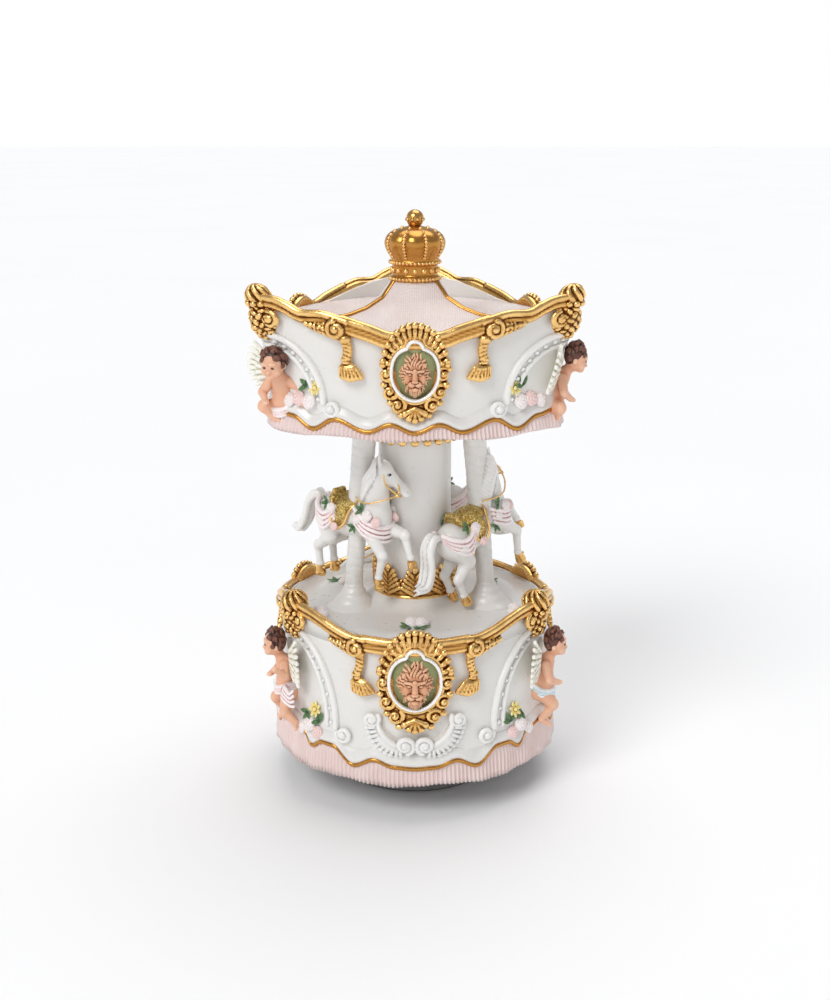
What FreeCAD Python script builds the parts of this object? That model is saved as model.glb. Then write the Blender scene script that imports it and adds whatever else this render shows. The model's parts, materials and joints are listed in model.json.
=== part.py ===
import FreeCAD, Part

import math
import os

import Sketcher
from FreeCAD import Placement, Rotation, Vector

# A carousel music box of painted cast resin. The whole body turns on a small steel foot, which is
# also the winding key of the movement inside the base. Millimetres, +Z up, the front along -Y,
# with the origin at the middle of the foot's underside.

DRIVING_SIZES = {
    "foot_radius": 29.0,
    "foot_top": 11.0,
    "foot_wall": 1.2,
    "pad_thick": 0.8,
    "body_bottom": 13.0,
    "skirt_radius": 50.5,
    "skirt_top": 22.0,
    "wall": 3.0,
    "deck_radius": 46.5,
    "deck_height": 62.5,
    "cover_radius": 43.0,
    "column_radius": 12.7,
    "column_wall": 2.2,
    "canopy_bottom": 131.0,
    "canopy_side": 46.0,
    "canopy_corner": 57.0,
    "canopy_low_corner": 52.0,
    "canopy_low_side": 45.5,
    "corner_round": 9.0,
    "canopy_edge": 164.0,
    "canopy_high": 174.0,
    "canopy_peak": 176.0,
    "crown_radius": 10.3,
    "crown_top": 200.0,
    "rim_tube": 1.7,
    "pole_radius": 3.1,
    "pole_upper": 4.1,
    "pole_lean": 5.0,
    "arbor_radius": 3.0,
    "bearing_gap": 0.05,
    "plate_low": 16.0,
    "plate_thick": 2.0,
    "barrel_radius": 11.0,
    "barrel_high": 10.0,
    "module_drive": 0.75,
    "module_train": 0.5,
    "music_axis": 36.4,
    "music_radius": 6.5,
    "music_start": 13.0,
    "music_length": 18.0,
}
WHEEL_TEETH = 24
PINION_TEETH = 12
TRAIN_TEETH = 30
GOVERNOR_TEETH = 10
WORM_WHEEL_TEETH = 20
NOTES = 18
SIDES = 3  # the body repeats three times round its axis
FRONTS = [0.0, 120.0, 240.0]
CORNERS = [60.0, 180.0, 300.0]
COVER_SCREWS = [0.0, 150.0, 240.0]
PLATE_SCREWS = [(-13.0, -19.0), (-13.0, 19.0), (28.0, 19.0)]
# Each horse was glued down by hand: its angle from the front and its distance from the axis.
HORSES = [(-68.0, 24.0, -42.0), (76.0, 26.5, 46.0), (173.0, 28.0, 173.0)]


class Size:
    """A number with the spreadsheet expression that gives it, so that both stay in step."""

    def __init__(self, value, text):
        self.value = float(value)
        self.text = text

    def _join(self, other, sign, value, swapped=False):
        left, right = self.text, other.text if isinstance(other, Size) else f"{other:g}"
        if swapped:
            left, right = right, left
        return Size(value, f"({left} {sign} {right})")

    def __add__(self, other):
        return self._join(other, "+", self.value + number(other))

    def __sub__(self, other):
        return self._join(other, "-", self.value - number(other))

    def __rsub__(self, other):
        return self._join(other, "-", number(other) - self.value, swapped=True)

    def __mul__(self, other):
        return self._join(other, "*", self.value * number(other))

    def __truediv__(self, other):
        return self._join(other, "/", self.value / number(other))


def number(size):
    return size.value if isinstance(size, Size) else float(size)


def make_sheet(doc):
    sheet = doc.addObject("Spreadsheet::Sheet", "dims")
    for row, (alias, value) in enumerate(DRIVING_SIZES.items(), start=1):
        sheet.set(f"A{row}", alias)
        sheet.set(f"B{row}", f"{value:g}")
        sheet.setAlias(f"B{row}", alias)
    doc.recompute()


doc = FreeCAD.newDocument("carousel_music_box")
make_sheet(doc)
D = {alias: Size(value, f"dims.{alias}") for alias, value in DRIVING_SIZES.items()}
kept = {}


def keep(obj, label):
    """Marks obj as a finished sub-part, whose label names its file."""
    obj.Label = label
    kept[label] = obj
    return obj


def bind(obj, **sizes):
    for prop, size in sizes.items():
        if isinstance(size, Size):
            obj.setExpression(prop, size.text)
        else:
            setattr(obj, prop, size)
    return obj


def put(obj, x=0.0, y=0.0, z=0.0, axis=(0, 0, 1)):
    """Places obj, with its own Z along axis, and binds each coordinate that is a Size."""
    obj.Placement = Placement(
        Vector(number(x), number(y), number(z)), Rotation(Vector(0, 0, 1), Vector(*axis))
    )
    for letter, place in zip("xyz", (x, y, z)):
        if isinstance(place, Size):
            obj.setExpression(f"Placement.Base.{letter}", place.text)
    return obj


def cylinder(radius, height, x=0.0, y=0.0, z=0.0, axis=(0, 0, 1)):
    drum = bind(doc.addObject("Part::Cylinder", "cylinder"), Radius=radius, Height=height)
    return put(drum, x, y, z, axis)


def cone(low, high, height, x=0.0, y=0.0, z=0.0, axis=(0, 0, 1)):
    obj = bind(doc.addObject("Part::Cone", "cone"), Radius1=low, Radius2=high, Height=height)
    return put(obj, x, y, z, axis)


def sphere(radius, x=0.0, y=0.0, z=0.0):
    return put(bind(doc.addObject("Part::Sphere", "sphere"), Radius=radius), x, y, z)


def torus(ring, tube, z=0.0):
    return put(bind(doc.addObject("Part::Torus", "torus"), Radius1=ring, Radius2=tube), z=z)


def block(length, width, height, x=0.0, y=0.0, z=0.0):
    block = bind(doc.addObject("Part::Box", "block"), Length=length, Width=width, Height=height)
    return put(block, x, y, z)


def fuse(*parts):
    obj = doc.addObject("Part::MultiFuse", "fusion")
    obj.Shapes = list(parts)
    return obj


def cut(base, *tools):
    obj = doc.addObject("Part::Cut", "cut")
    obj.Base = base
    obj.Tool = tools[0] if len(tools) == 1 else fuse(*tools)
    return obj


def group(*parts):
    """Separate solids that share one node."""
    obj = doc.addObject("Part::Compound", "group")
    obj.Links = list(parts)
    return obj


def made(shape, name="shape"):
    obj = doc.addObject("Part::Feature", name)
    obj.Shape = shape
    return obj


def facing(shape, angle, radius, z):
    """A shape modelled facing -Y at its own origin, set at an angle and radius round the axis."""
    turn = math.radians(angle)
    spot = Vector(number(radius) * math.sin(turn), -number(radius) * math.cos(turn), number(z))
    return shape.transformed(Placement(spot, Rotation(Vector(0, 0, 1), angle)).toMatrix())


def shape_of(label):
    """The finished shape of a kept sub-part."""
    doc.recompute()
    return kept[label].Shape


def seated(shape, *labels):
    """The shape with everything cut away that would sink into the kept sub-parts it touches."""
    left = shape.cut([shape_of(label) for label in labels])
    return max(left.Solids, key=lambda solid: solid.Volume)


def repeated(shape):
    """Copies of one shape a third of a turn apart round the axis."""
    turns = [Placement(Vector(), Rotation(Vector(0, 0, 1), angle)).toMatrix() for angle in FRONTS]
    return Part.makeCompound([shape.transformed(turn) for turn in turns])


def revolved_body(name, profile):
    """A PartDesign body turned from a closed profile of (radius, height) corners bound to the sheet."""
    body = doc.addObject("PartDesign::Body", name)
    plane = next(f for f in body.Origin.OriginFeatures if f.Role == "XZ_Plane")
    sketch = body.newObject("Sketcher::SketchObject", f"{name}_profile")
    sketch.AttachmentSupport = [(plane, "")]
    sketch.MapMode = "FlatFace"
    corners = [Vector(number(x), number(y), 0) for x, y in profile]
    for i, corner in enumerate(corners):
        sketch.addGeometry(Part.LineSegment(corner, corners[(i + 1) % len(corners)]), False)
    for i in range(len(corners)):
        sketch.addConstraint(Sketcher.Constraint("Coincident", i, 2, (i + 1) % len(corners), 1))
    for i, (x, y) in enumerate(profile):
        for kind, size in (("DistanceX", x), ("DistanceY", y)):
            if number(size) == 0.0:
                on_axis = -2 if kind == "DistanceX" else -1
                sketch.addConstraint(Sketcher.Constraint("PointOnObject", i, 1, on_axis))
                continue
            at = sketch.addConstraint(Sketcher.Constraint(kind, -1, 1, i, 1, number(size)))
            if isinstance(size, Size):
                sketch.setExpression(f"Constraints[{at}]", size.text)
    turned = body.newObject("PartDesign::Revolution", f"{name}_turned")
    turned.Profile = sketch
    turned.ReferenceAxis = (sketch, ["V_Axis"])
    turned.Angle = 360.0
    sketch.Visibility = False
    return body


# Small sculpted shapes, made with Part's own functions


def ball(centre, radius):
    return Part.makeSphere(radius, Vector(*centre))


def limb(start, end, first, last):
    """A tapering round limb between two points."""
    a, b = Vector(*start), Vector(*end)
    if abs(first - last) < 1e-6:
        return Part.makeCylinder(first, (b - a).Length, a, b - a)
    return Part.makeCone(first, last, (b - a).Length, a, b - a)


def oval_plate(half_width, half_height, start, thick):
    """An upright oval plate facing -Y, its back at y = -start."""
    line = Part.Ellipse(Vector(0, -start, half_height), Vector(half_width, -start, 0), Vector(0, -start, 0))
    return Part.Face(Part.Wire(line.toShape())).extrude(Vector(0, -thick, 0))


def joined(shapes):
    return shapes[0].multiFuse(shapes[1:]).removeSplitter()


def horse_figure():
    """A prancing horse heading along +X, its origin on the pole at the middle of its body."""
    parts = [
        limb((-10.0, 0, 1.6), (9.0, 0, 1.8), 6.3, 5.9),
        ball((-10.0, 0, 1.6), 6.3),
        ball((9.0, 0, 1.8), 5.9),
        limb((9.5, 0, 4.0), (14.5, 0, 19.0), 5.6, 3.6),
        ball((14.5, 0, 19.0), 3.7),
        limb((14.5, 0, 19.0), (20.5, 0, 11.5), 3.6, 2.1),
        ball((20.5, 0, 11.5), 2.15),
    ]
    for side in (-1, 1):
        lift = 1.6 * (side + 1)
        knee = (16.0 + lift, 3.2 * side, -8.0 + lift)
        ankle = (15.0 + 1.8 * lift, 3.2 * side, -17.0 + lift)
        hock = (-15.5, 3.4 * side, -10.0)
        parts += [
            limb((13.6, 1.6 * side, 21.0), (13.0, 2.0 * side, 25.4), 1.3, 0.3),
            limb((9.0, 3.0 * side, -1.5), knee, 3.0, 1.9),
            ball(knee, 1.95),
            limb(knee, ankle, 1.9, 1.3),
            limb(ankle, (ankle[0] + 0.6, ankle[1], ankle[2] - 3.5), 1.4, 2.1),
            limb((-12.0, 3.0 * side, -0.5), hock, 3.6, 2.0),
            ball(hock, 2.05),
            limb(hock, (-19.0, 3.4 * side, -18.0), 2.0, 1.4),
            limb((-18.8, 3.4 * side, -17.8), (-19.4, 3.4 * side, -21.6), 1.5, 2.2),
        ]
    parts += [
        limb((-15.0, 0, 5.0), (-21.5, 0, 2.5), 1.7, 2.7),
        ball((-21.5, 0, 2.5), 2.75),
        limb((-21.5, 0, 2.5), (-23.5, 0, -8.0), 2.7, 0.8),
    ]
    return joined(parts)


def cherub_figure():
    """A small winged child facing -Y, its back against the wall at y = 0 and its origin at its hips."""
    parts = [
        limb((0, -3.6, -1.0), (0, -3.4, 8.4), 4.2, 3.3),
        ball((0, -3.6, -1.0), 4.2),
        ball((0, -3.4, 8.4), 3.35),
        ball((0, -5.0, 15.0), 4.3),
        limb((0, -4.0, 9.5), (0, -4.8, 12.5), 2.0, 1.9),
    ]
    for side in (-1, 1):
        elbow = (6.6 * side, -4.2, 4.4)
        knee = (3.4 * side, -6.6, -6.4)
        parts += [
            limb((3.0 * side, -3.6, 8.6), elbow, 1.8, 1.4),
            ball(elbow, 1.45),
            limb(elbow, (4.4 * side, -6.4, 0.6), 1.4, 1.1),
            limb((2.2 * side, -4.0, -1.4), knee, 2.5, 1.9),
            ball(knee, 1.95),
            limb(knee, (2.8 * side, -3.6, -12.6), 1.9, 1.3),
            limb((2.8 * side, -3.2, -13.0), (2.8 * side, -6.4, -13.4), 1.4, 1.0),
            limb((1.6 * side, -1.4, 8.0), (9.0 * side, -1.2, 12.4), 1.2, 2.0),
        ]
    return joined(parts)


def lion_figure():
    """A lion's mask on its oval plaque, the plaque's back at y = 0."""
    return joined([
        oval_plate(8.6, 11.0, 0.0, 1.4),
        limb((0, -1.0, 0.2), (0, -3.2, 0.2), 6.6, 5.2),
        ball((0, -1.8, 0.6), 4.2),
        ball((0, -4.4, -1.8), 2.2),
    ])


def cartouche_figure(half_width, half_height):
    """The gilt frame round a lion's plaque: an oval ring with a lobed edge and a back plate."""
    plate = oval_plate(0.84 * half_width, 0.84 * half_height, 0.0, 1.6)
    lobes, beads = 16, []
    for i in range(lobes):
        turn = 2 * math.pi * i / lobes
        spot = (0.86 * half_width * math.sin(turn), -1.2, 0.86 * half_height * math.cos(turn))
        beads.append(ball(spot, 2.1))
    bore = oval_plate(0.62 * half_width, 0.62 * half_height, 0.8, 6.0)
    corner = Vector(-2 * half_width, 0, -2 * half_height)
    behind = Part.makeBox(4 * half_width, 6.0, 4 * half_height, corner)
    return joined([plate] + beads).cut([bore, behind])


def tassel_figure():
    """A knotted tassel hanging on the wall, its knot at the origin."""
    return joined([
        ball((0, -1.6, 0), 2.3),
        ball((2.6, -1.2, 0.2), 1.5),
        limb((0, -1.4, -1.0), (-0.6, -1.5, -8.6), 1.3, 1.3),
        ball((-0.6, -1.6, -8.8), 1.7),
        limb((-0.6, -1.6, -9.0), (-1.4, -1.7, -15.0), 1.5, 3.0),
    ])


def shell_figure():
    """A scrolled shell over a corner of the base."""
    return joined([
        limb((0, -0.4, -5.0), (0, -0.6, 5.5), 3.6, 4.2),
        ball((0, -1.0, 6.4), 5.0),
    ])


def finial_figure():
    """The ball and scroll that stand on a corner of the canopy."""
    return joined([
        ball((0, -0.4, 2.6), 3.9),
        limb((0, -0.4, -9.6), (0, -0.6, 0.0), 4.0, 3.2),
        ball((-3.4, -1.6, -8.4), 2.2),
        ball((3.4, -1.6, -8.4), 2.2),
    ])


def rose_figure():
    """A rose with two leaves, resting on the deck."""
    return joined([
        ball((0, 0, 0.9), 2.3),
        limb((1.4, 0.4, 0.7), (4.6, 1.2, 0.5), 1.3, 0.5),
        limb((-1.4, -0.5, 0.7), (-4.4, -1.6, 0.5), 1.3, 0.5),
    ])


# The rounded triangle of the canopy


def rounded_triangle(corner, side, z, inset=0.0):
    """A closed wire of three long arcs and three short ones, each tangent to the next."""
    tip = number(D["corner_round"]) - inset
    reach = number(corner) - inset
    near = number(side) - inset
    p, m = reach - tip, near - tip
    q = (p * p - m * m) / (2 * m - p)
    long_radius = q + near
    edges = []
    for k in range(SIDES):
        face, peak = math.radians(120 * k), math.radians(120 * k + 60)
        centre = Vector(-q * math.sin(face), q * math.cos(face), z)
        knuckle = Vector(p * math.sin(peak), -p * math.cos(peak), z)
        before = Vector(p * math.sin(face - math.pi / 3), -p * math.cos(face - math.pi / 3), z)
        end = centre + (knuckle - centre).normalize() * long_radius
        start = centre + (before - centre).normalize() * long_radius
        middle = Vector(near * math.sin(face), -near * math.cos(face), z)
        edges.append(Part.Arc(start, middle, end).toShape())
        following = math.radians(120 * (k + 1))
        over = Vector(-q * math.sin(following), q * math.cos(following), z)
        landing = over + (knuckle - over).normalize() * long_radius
        top = Vector(reach * math.sin(peak), -reach * math.cos(peak), z)
        edges.append(Part.Arc(end, top, landing).toShape())
    return Part.Wire(edges)


def triangle_radius(angle):
    """Distance from the axis to the canopy's upper edge, at an angle in degrees from the front."""
    wire = rounded_triangle(D["canopy_corner"], D["canopy_side"], 0.0)
    turn = math.radians(angle)
    ray = Part.LineSegment(Vector(0, 0, 0), Vector(90 * math.sin(turn), -90 * math.cos(turn), 0)).toShape()
    return wire.distToShape(ray)[1][0][1].Length


def canopy_loft(low, high):
    loft = doc.addObject("Part::Loft", "loft")
    loft.Sections = [made(low), made(high)]
    loft.Solid = True
    loft.Ruled = True
    return loft


def wavy_rim(radius_at, height_at, tube):
    """A round rim swept along a closed line that rises and falls, three times round."""
    steps = 48
    stops = []
    for i in range(steps):
        angle = 360.0 * (i + 0.5) / steps
        turn, radius = math.radians(angle), radius_at(angle)
        stops.append(Vector(radius * math.sin(turn), -radius * math.cos(turn), height_at(angle)))
    # The line starts in the middle of a straight run, so that its first and last rings meet flat.
    seam = (stops[0] + stops[-1]) * 0.5
    path = made(Part.makePolygon([seam] + stops + [seam]), "rim_path")
    ring = bind(doc.addObject("Part::Circle", "rim_section"), Radius=tube)
    ring.Placement = Placement(seam, Rotation(Vector(0, 0, 1), stops[0] - seam))
    rim = doc.addObject("Part::Sweep", "rim")
    rim.Sections = [ring]
    rim.Spine = (path, [f"Edge{i + 1}" for i in range(len(path.Shape.Edges))])
    rim.Solid = True
    rim.Transition = "Right corner"
    return rim


# The foot, which stands still


def make_foot():
    pad = cylinder(D["foot_radius"] - 1.0, D["pad_thick"])
    keep(pad, "foot_pad")
    wall, top = D["foot_wall"], D["foot_top"]
    hub = D["arbor_radius"] + 3.0
    profile = [
        (D["arbor_radius"], top - 5.0),
        (hub, top - 5.0),
        (hub, top - wall),
        (D["foot_radius"] - wall - 2.0, top - wall),
        (D["foot_radius"] - wall, top - wall - 2.0),
        (D["foot_radius"] - wall, D["pad_thick"]),
        (D["foot_radius"], D["pad_thick"]),
        (D["foot_radius"], top - 2.0),
        (D["foot_radius"] - 2.0, top),
        (D["arbor_radius"], top),
    ]
    keep(revolved_body("foot_can", profile), "foot_can")
    washer_high = D["body_bottom"] + 0.2 - top
    washer = cut(
        cylinder(D["arbor_radius"] + 5.0, washer_high, z=top),
        cylinder(D["arbor_radius"], washer_high, z=top),
    )
    keep(washer, "thrust_washer")
    arbor_low, arbor_high = D["foot_top"] - 9.0, D["plate_low"] + 17.0
    keep(cylinder(D["arbor_radius"], arbor_high - arbor_low, z=arbor_low), "winding_arbor")
    nut = doc.addObject("Part::Prism", "nut")
    bind(nut, Polygon=6, Circumradius=D["arbor_radius"] + 2.6, Height=2.4)
    put(nut, z=top - 7.4)
    keep(cut(nut, cylinder(D["arbor_radius"], 2.4, z=top - 7.4)), "lock_nut")


def toothed_outline(teeth, root, tip, root_half, tip_half, phase):
    """Corners of a gear with straight-sided teeth, in its own plane, one tooth at angle phase."""
    corners = []
    for k in range(teeth):
        middle = phase + 2 * math.pi * k / teeth
        for radius, half in ((root, -root_half), (tip, -tip_half), (tip, tip_half), (root, root_half)):
            turn = middle + half / radius
            corners.append((radius * math.cos(turn), radius * math.sin(turn)))
    return corners


def spur_gear(teeth, root, tip, root_half, tip_half, phase, x, y, z, width):
    """A spur gear on an axis along X. Its teeth's phase is measured from +Y towards +Z."""
    outline = toothed_outline(teeth, root, tip, root_half, tip_half, phase)
    points = [Vector(x, y + u, z + v) for u, v in outline]
    face = Part.Face(Part.makePolygon(points + points[:1]))
    return face.extrude(Vector(width, 0, 0))


def make_drive_wheel():
    """The wheel on the arbor, with its teeth standing up to meet the pinion."""
    pitch = number(D["module_drive"]) * WHEEL_TEETH / 2
    base = number(D["music_axis"]) - number(D["module_drive"]) * PINION_TEETH / 2 - 0.9
    inner, outer = pitch - 0.9, pitch + 0.9
    disc = Part.makeCylinder(outer, 1.6, Vector(0, 0, base - 1.6))
    hub = Part.makeCylinder(number(D["arbor_radius"]) + 2.0, 2.2, Vector(0, 0, base - 2.2))
    teeth = []
    for k in range(WHEEL_TEETH):
        middle = 2 * math.pi * (k + 0.5) / WHEEL_TEETH
        rings = []
        for height, half in ((base - 0.3, 0.46), (base + 1.6, 0.25)):
            corners = []
            for radius, side in ((inner, -1), (outer, -1), (outer, 1), (inner, 1)):
                turn = middle + side * half / pitch
                corners.append(Vector(radius * math.cos(turn), radius * math.sin(turn), height))
            rings.append(Part.makePolygon(corners + corners[:1]))
        teeth.append(Part.makeLoft(rings, True, True))
    bore = Part.makeCylinder(number(D["arbor_radius"]), 8.0, Vector(0, 0, base - 5.0))
    keep(made(joined([disc, hub] + teeth).cut(bore)), "drive_wheel")


# The movement, fixed inside the base


def make_movement_frame():
    low, thick = D["plate_low"], D["plate_thick"]
    top = low + thick
    start = D["music_start"]
    end = start + D["music_length"]
    axis = D["music_axis"]
    hole = D["arbor_radius"] + 1.6
    holes, bolts = [cylinder(hole, thick, z=low)], []
    for x, y in PLATE_SCREWS:
        holes.append(cylinder(1.2, thick, x=x, y=y, z=low))
        shank = cylinder(1.2, thick + 1.4, x=x, y=y, z=low - 1.4)
        bolts.append(fuse(cylinder(2.4, 1.6, x=x, y=y, z=top), shank))
    keep(cut(block(end + 23.0, 44.0, thick, x=-17.0, y=-22.0, z=low), *holes), "movement_plate")
    keep(group(*bolts), "plate_screws")
    spring = cut(
        cylinder(D["barrel_radius"], D["barrel_high"], z=top),
        cylinder(D["barrel_radius"] - 1.0, D["barrel_high"] - 2.0, z=top + 1.0),
        cylinder(D["arbor_radius"] + D["bearing_gap"], D["barrel_high"], z=top),
    )
    keep(spring, "spring_barrel")
    inner = cut(
        block(1.2, 10.0, axis + 4.0 - top, x=start - 1.6, y=-5.0, z=top),
        cylinder(1.25, 1.2, x=start - 1.6, z=axis, axis=(1, 0, 0)),
    )
    reach = number(D["module_train"]) * (TRAIN_TEETH + GOVERNOR_TEETH) / 2 + 0.05
    outer = cut(
        block(1.2, 19.0, axis + 4.0 - top, x=end + 5.2, y=-5.0, z=top),
        cylinder(1.25, 1.2, x=end + 5.2, z=axis, axis=(1, 0, 0)),
        cylinder(0.85, 1.2, x=end + 5.2, y=reach, z=axis, axis=(1, 0, 0)),
    )
    small = cut(
        block(1.2, 5.0, axis + 3.0 - top, x=end - 1.8, y=7.6, z=top),
        cylinder(0.85, 1.2, x=end - 1.8, y=reach, z=axis, axis=(1, 0, 0)),
    )
    keep(group(inner, outer, small), "arbor_brackets")
    comb_top = axis + 0.5
    support = block(D["music_length"], 5.0, comb_top - 1.0 - top, x=start, y=-20.5, z=top)
    keep(support, "comb_support")
    comb = [block(D["music_length"], 5.5, 1.0, x=start, y=-20.5, z=comb_top - 1.0)]
    for i in range(NOTES):
        comb.append(block(0.8, 8.2, 0.6, x=start + 0.1 + i, y=-15.2, z=comb_top - 0.8))
    heads, shanks = [], []
    for i in range(3):
        x = start + 3.0 + 6.0 * i
        shanks.append(cylinder(1.0, 1.0, x=x, y=-18.0, z=comb_top - 1.0))
        head = cylinder(1.9, 1.2, x=x, y=-18.0, z=comb_top)
        neck = cylinder(1.0, 1.0, x=x, y=-18.0, z=comb_top - 1.0)
        heads.append(fuse(head, neck))
    keep(cut(fuse(*comb), *shanks), "comb")
    keep(group(*heads), "comb_screws")


def make_mainspring():
    """A flat spring coiled between the arbor and the barrel's wall."""
    turns, thick = 5, 0.45
    inner = number(D["arbor_radius"]) + 0.8
    pitch = (number(D["barrel_radius"]) - 1.6 - inner) / turns
    low = number(D["plate_low"]) + number(D["plate_thick"]) + 1.4
    high = number(D["barrel_high"]) - 3.0

    def spiral(offset):
        points = []
        for i in range(turns * 24 + 1):
            turn = 2 * math.pi * i / 24
            radius = inner + pitch * turn / (2 * math.pi) + offset
            points.append(Vector(radius * math.cos(turn), radius * math.sin(turn), low))
        return points

    outside, inside = spiral(thick), spiral(0.0)
    outline = outside + inside[::-1] + outside[:1]
    keep(made(Part.Face(Part.makePolygon(outline)).extrude(Vector(0, 0, high))), "mainspring")


def make_music_cylinder():
    start, end = number(D["music_start"]), number(D["music_start"]) + NOTES
    axis, radius = number(D["music_axis"]), number(D["music_radius"])
    drum = Part.makeCylinder(radius, NOTES, Vector(start, 0, axis), Vector(1, 0, 0))
    pins = []
    for note in range(NOTES):
        for k in range(3):
            turn = math.radians(120 * k + 67 * note)
            out = Vector(0, math.cos(turn), math.sin(turn))
            foot = Vector(start + 0.5 + note, 0, axis) + out * (radius - 0.6)
            pins.append(Part.makeCylinder(0.2, 1.0, foot, out))
    bore = Part.makeCylinder(1.2, NOTES, Vector(start, 0, axis), Vector(1, 0, 0))
    keep(made(drum.multiFuse(pins).cut(bore)), "music_cylinder")
    keep(made(Part.makeCylinder(1.2, end + 6.4 - 7.0, Vector(7.0, 0, axis), Vector(1, 0, 0))), "cylinder_arbor")
    module = number(D["module_drive"])
    pitch = module * PINION_TEETH / 2
    pinion = spur_gear(
        PINION_TEETH, pitch - 1.0, pitch + 0.62, 0.52, 0.24, -math.pi / 2,
        module * WHEEL_TEETH / 2 - 0.8, 0, axis, 1.6,
    )
    bore = Part.makeCylinder(1.2, 40.0, Vector(0, 0, axis), Vector(1, 0, 0))
    keep(made(pinion.cut(bore)), "cylinder_pinion")
    module = number(D["module_train"])
    pitch = module * TRAIN_TEETH / 2
    wheel = spur_gear(TRAIN_TEETH, pitch - 0.6, pitch + 0.42, 0.34, 0.16, 0.0, end + 0.6, 0, axis, 1.6)
    keep(made(wheel.cut(bore)), "cylinder_wheel")


def make_governor():
    """The pinion and worm wheel on one arbor, then the upright worm with its air brake."""
    end, axis = number(D["music_start"]) + NOTES, number(D["music_axis"])
    module = number(D["module_train"])
    y = module * (TRAIN_TEETH + GOVERNOR_TEETH) / 2 + 0.05
    small, big = module * GOVERNOR_TEETH / 2, module * WORM_WHEEL_TEETH / 2
    half_tooth = math.pi / GOVERNOR_TEETH
    bore = Part.makeCylinder(0.8, 40.0, Vector(end - 5.0, y, axis), Vector(1, 0, 0))
    pinion = spur_gear(
        GOVERNOR_TEETH, small - 0.6, small + 0.42, 0.34, 0.16, math.pi + half_tooth,
        end + 0.6, y, axis, 1.6,
    )
    keep(made(pinion.cut(bore)), "governor_pinion")
    wheel = spur_gear(WORM_WHEEL_TEETH, big - 0.6, big + 0.4, 0.3, 0.16, 0.0, end + 3.0, y, axis, 1.4)
    keep(made(wheel.cut(bore)), "worm_wheel")
    keep(made(Part.makeCylinder(0.8, 8.4, Vector(end - 1.9, y, axis), Vector(1, 0, 0))), "governor_arbor")
    worm_x, worm_y = end + 3.7, y + big + 1.7
    lead = math.pi * module
    low, turns = axis - 3.5 * lead, 7
    core, crest = 1.0, 2.05
    helix = Part.makeHelix(lead, turns * lead, core)
    profile = Part.makePolygon([
        Vector(core - 0.15, 0, -0.34),
        Vector(crest, 0, -0.16),
        Vector(crest, 0, 0.16),
        Vector(core - 0.15, 0, 0.34),
        Vector(core - 0.15, 0, -0.34),
    ])
    thread = Part.Wire(helix).makePipeShell([profile], True, True)
    # Turned so that the gap of the thread faces the worm wheel's tooth, on the -Y side.
    turned = Placement(Vector(worm_x, worm_y, low), Rotation(Vector(0, 0, 1), -90))
    thread = thread.transformed(turned.toMatrix())
    shaft = Part.makeCylinder(core, turns * lead + 4.4, Vector(worm_x, worm_y, low - 1.0))
    top = low + turns * lead
    pivot = Part.makeCylinder(0.5, 1.6, Vector(worm_x, worm_y, low - 2.6))
    keep(made(shaft.multiFuse([thread, pivot])), "governor_worm")
    brake_low = top + 3.4
    hub = Part.makeCylinder(1.5, 3.2, Vector(worm_x, worm_y, brake_low))
    blade = Part.makeBox(8.0, 0.5, 3.2, Vector(worm_x - 4.0, worm_y - 0.25, brake_low))
    keep(made(joined([hub, blade])), "air_brake")
    frame_low = number(D["plate_low"]) + number(D["plate_thick"])
    back = Part.makeBox(5.0, 1.4, top + 2.6 - frame_low, Vector(worm_x - 2.5, worm_y + 2.6, frame_low))
    arm_low = Part.makeBox(5.0, 5.2, 1.6, Vector(worm_x - 2.5, worm_y - 2.6, low - 2.6))
    arm_high = Part.makeBox(5.0, 5.2, 1.4, Vector(worm_x - 2.5, worm_y - 2.6, top + 1.2))
    holes = [
        Part.makeCylinder(0.55, 3.0, Vector(worm_x, worm_y, low - 3.0)),
        Part.makeCylinder(core + 0.05, 3.0, Vector(worm_x, worm_y, top + 0.8)),
    ]
    keep(made(joined([back, arm_low, arm_high]).cut(holes)), "governor_frame")


# The base


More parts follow.
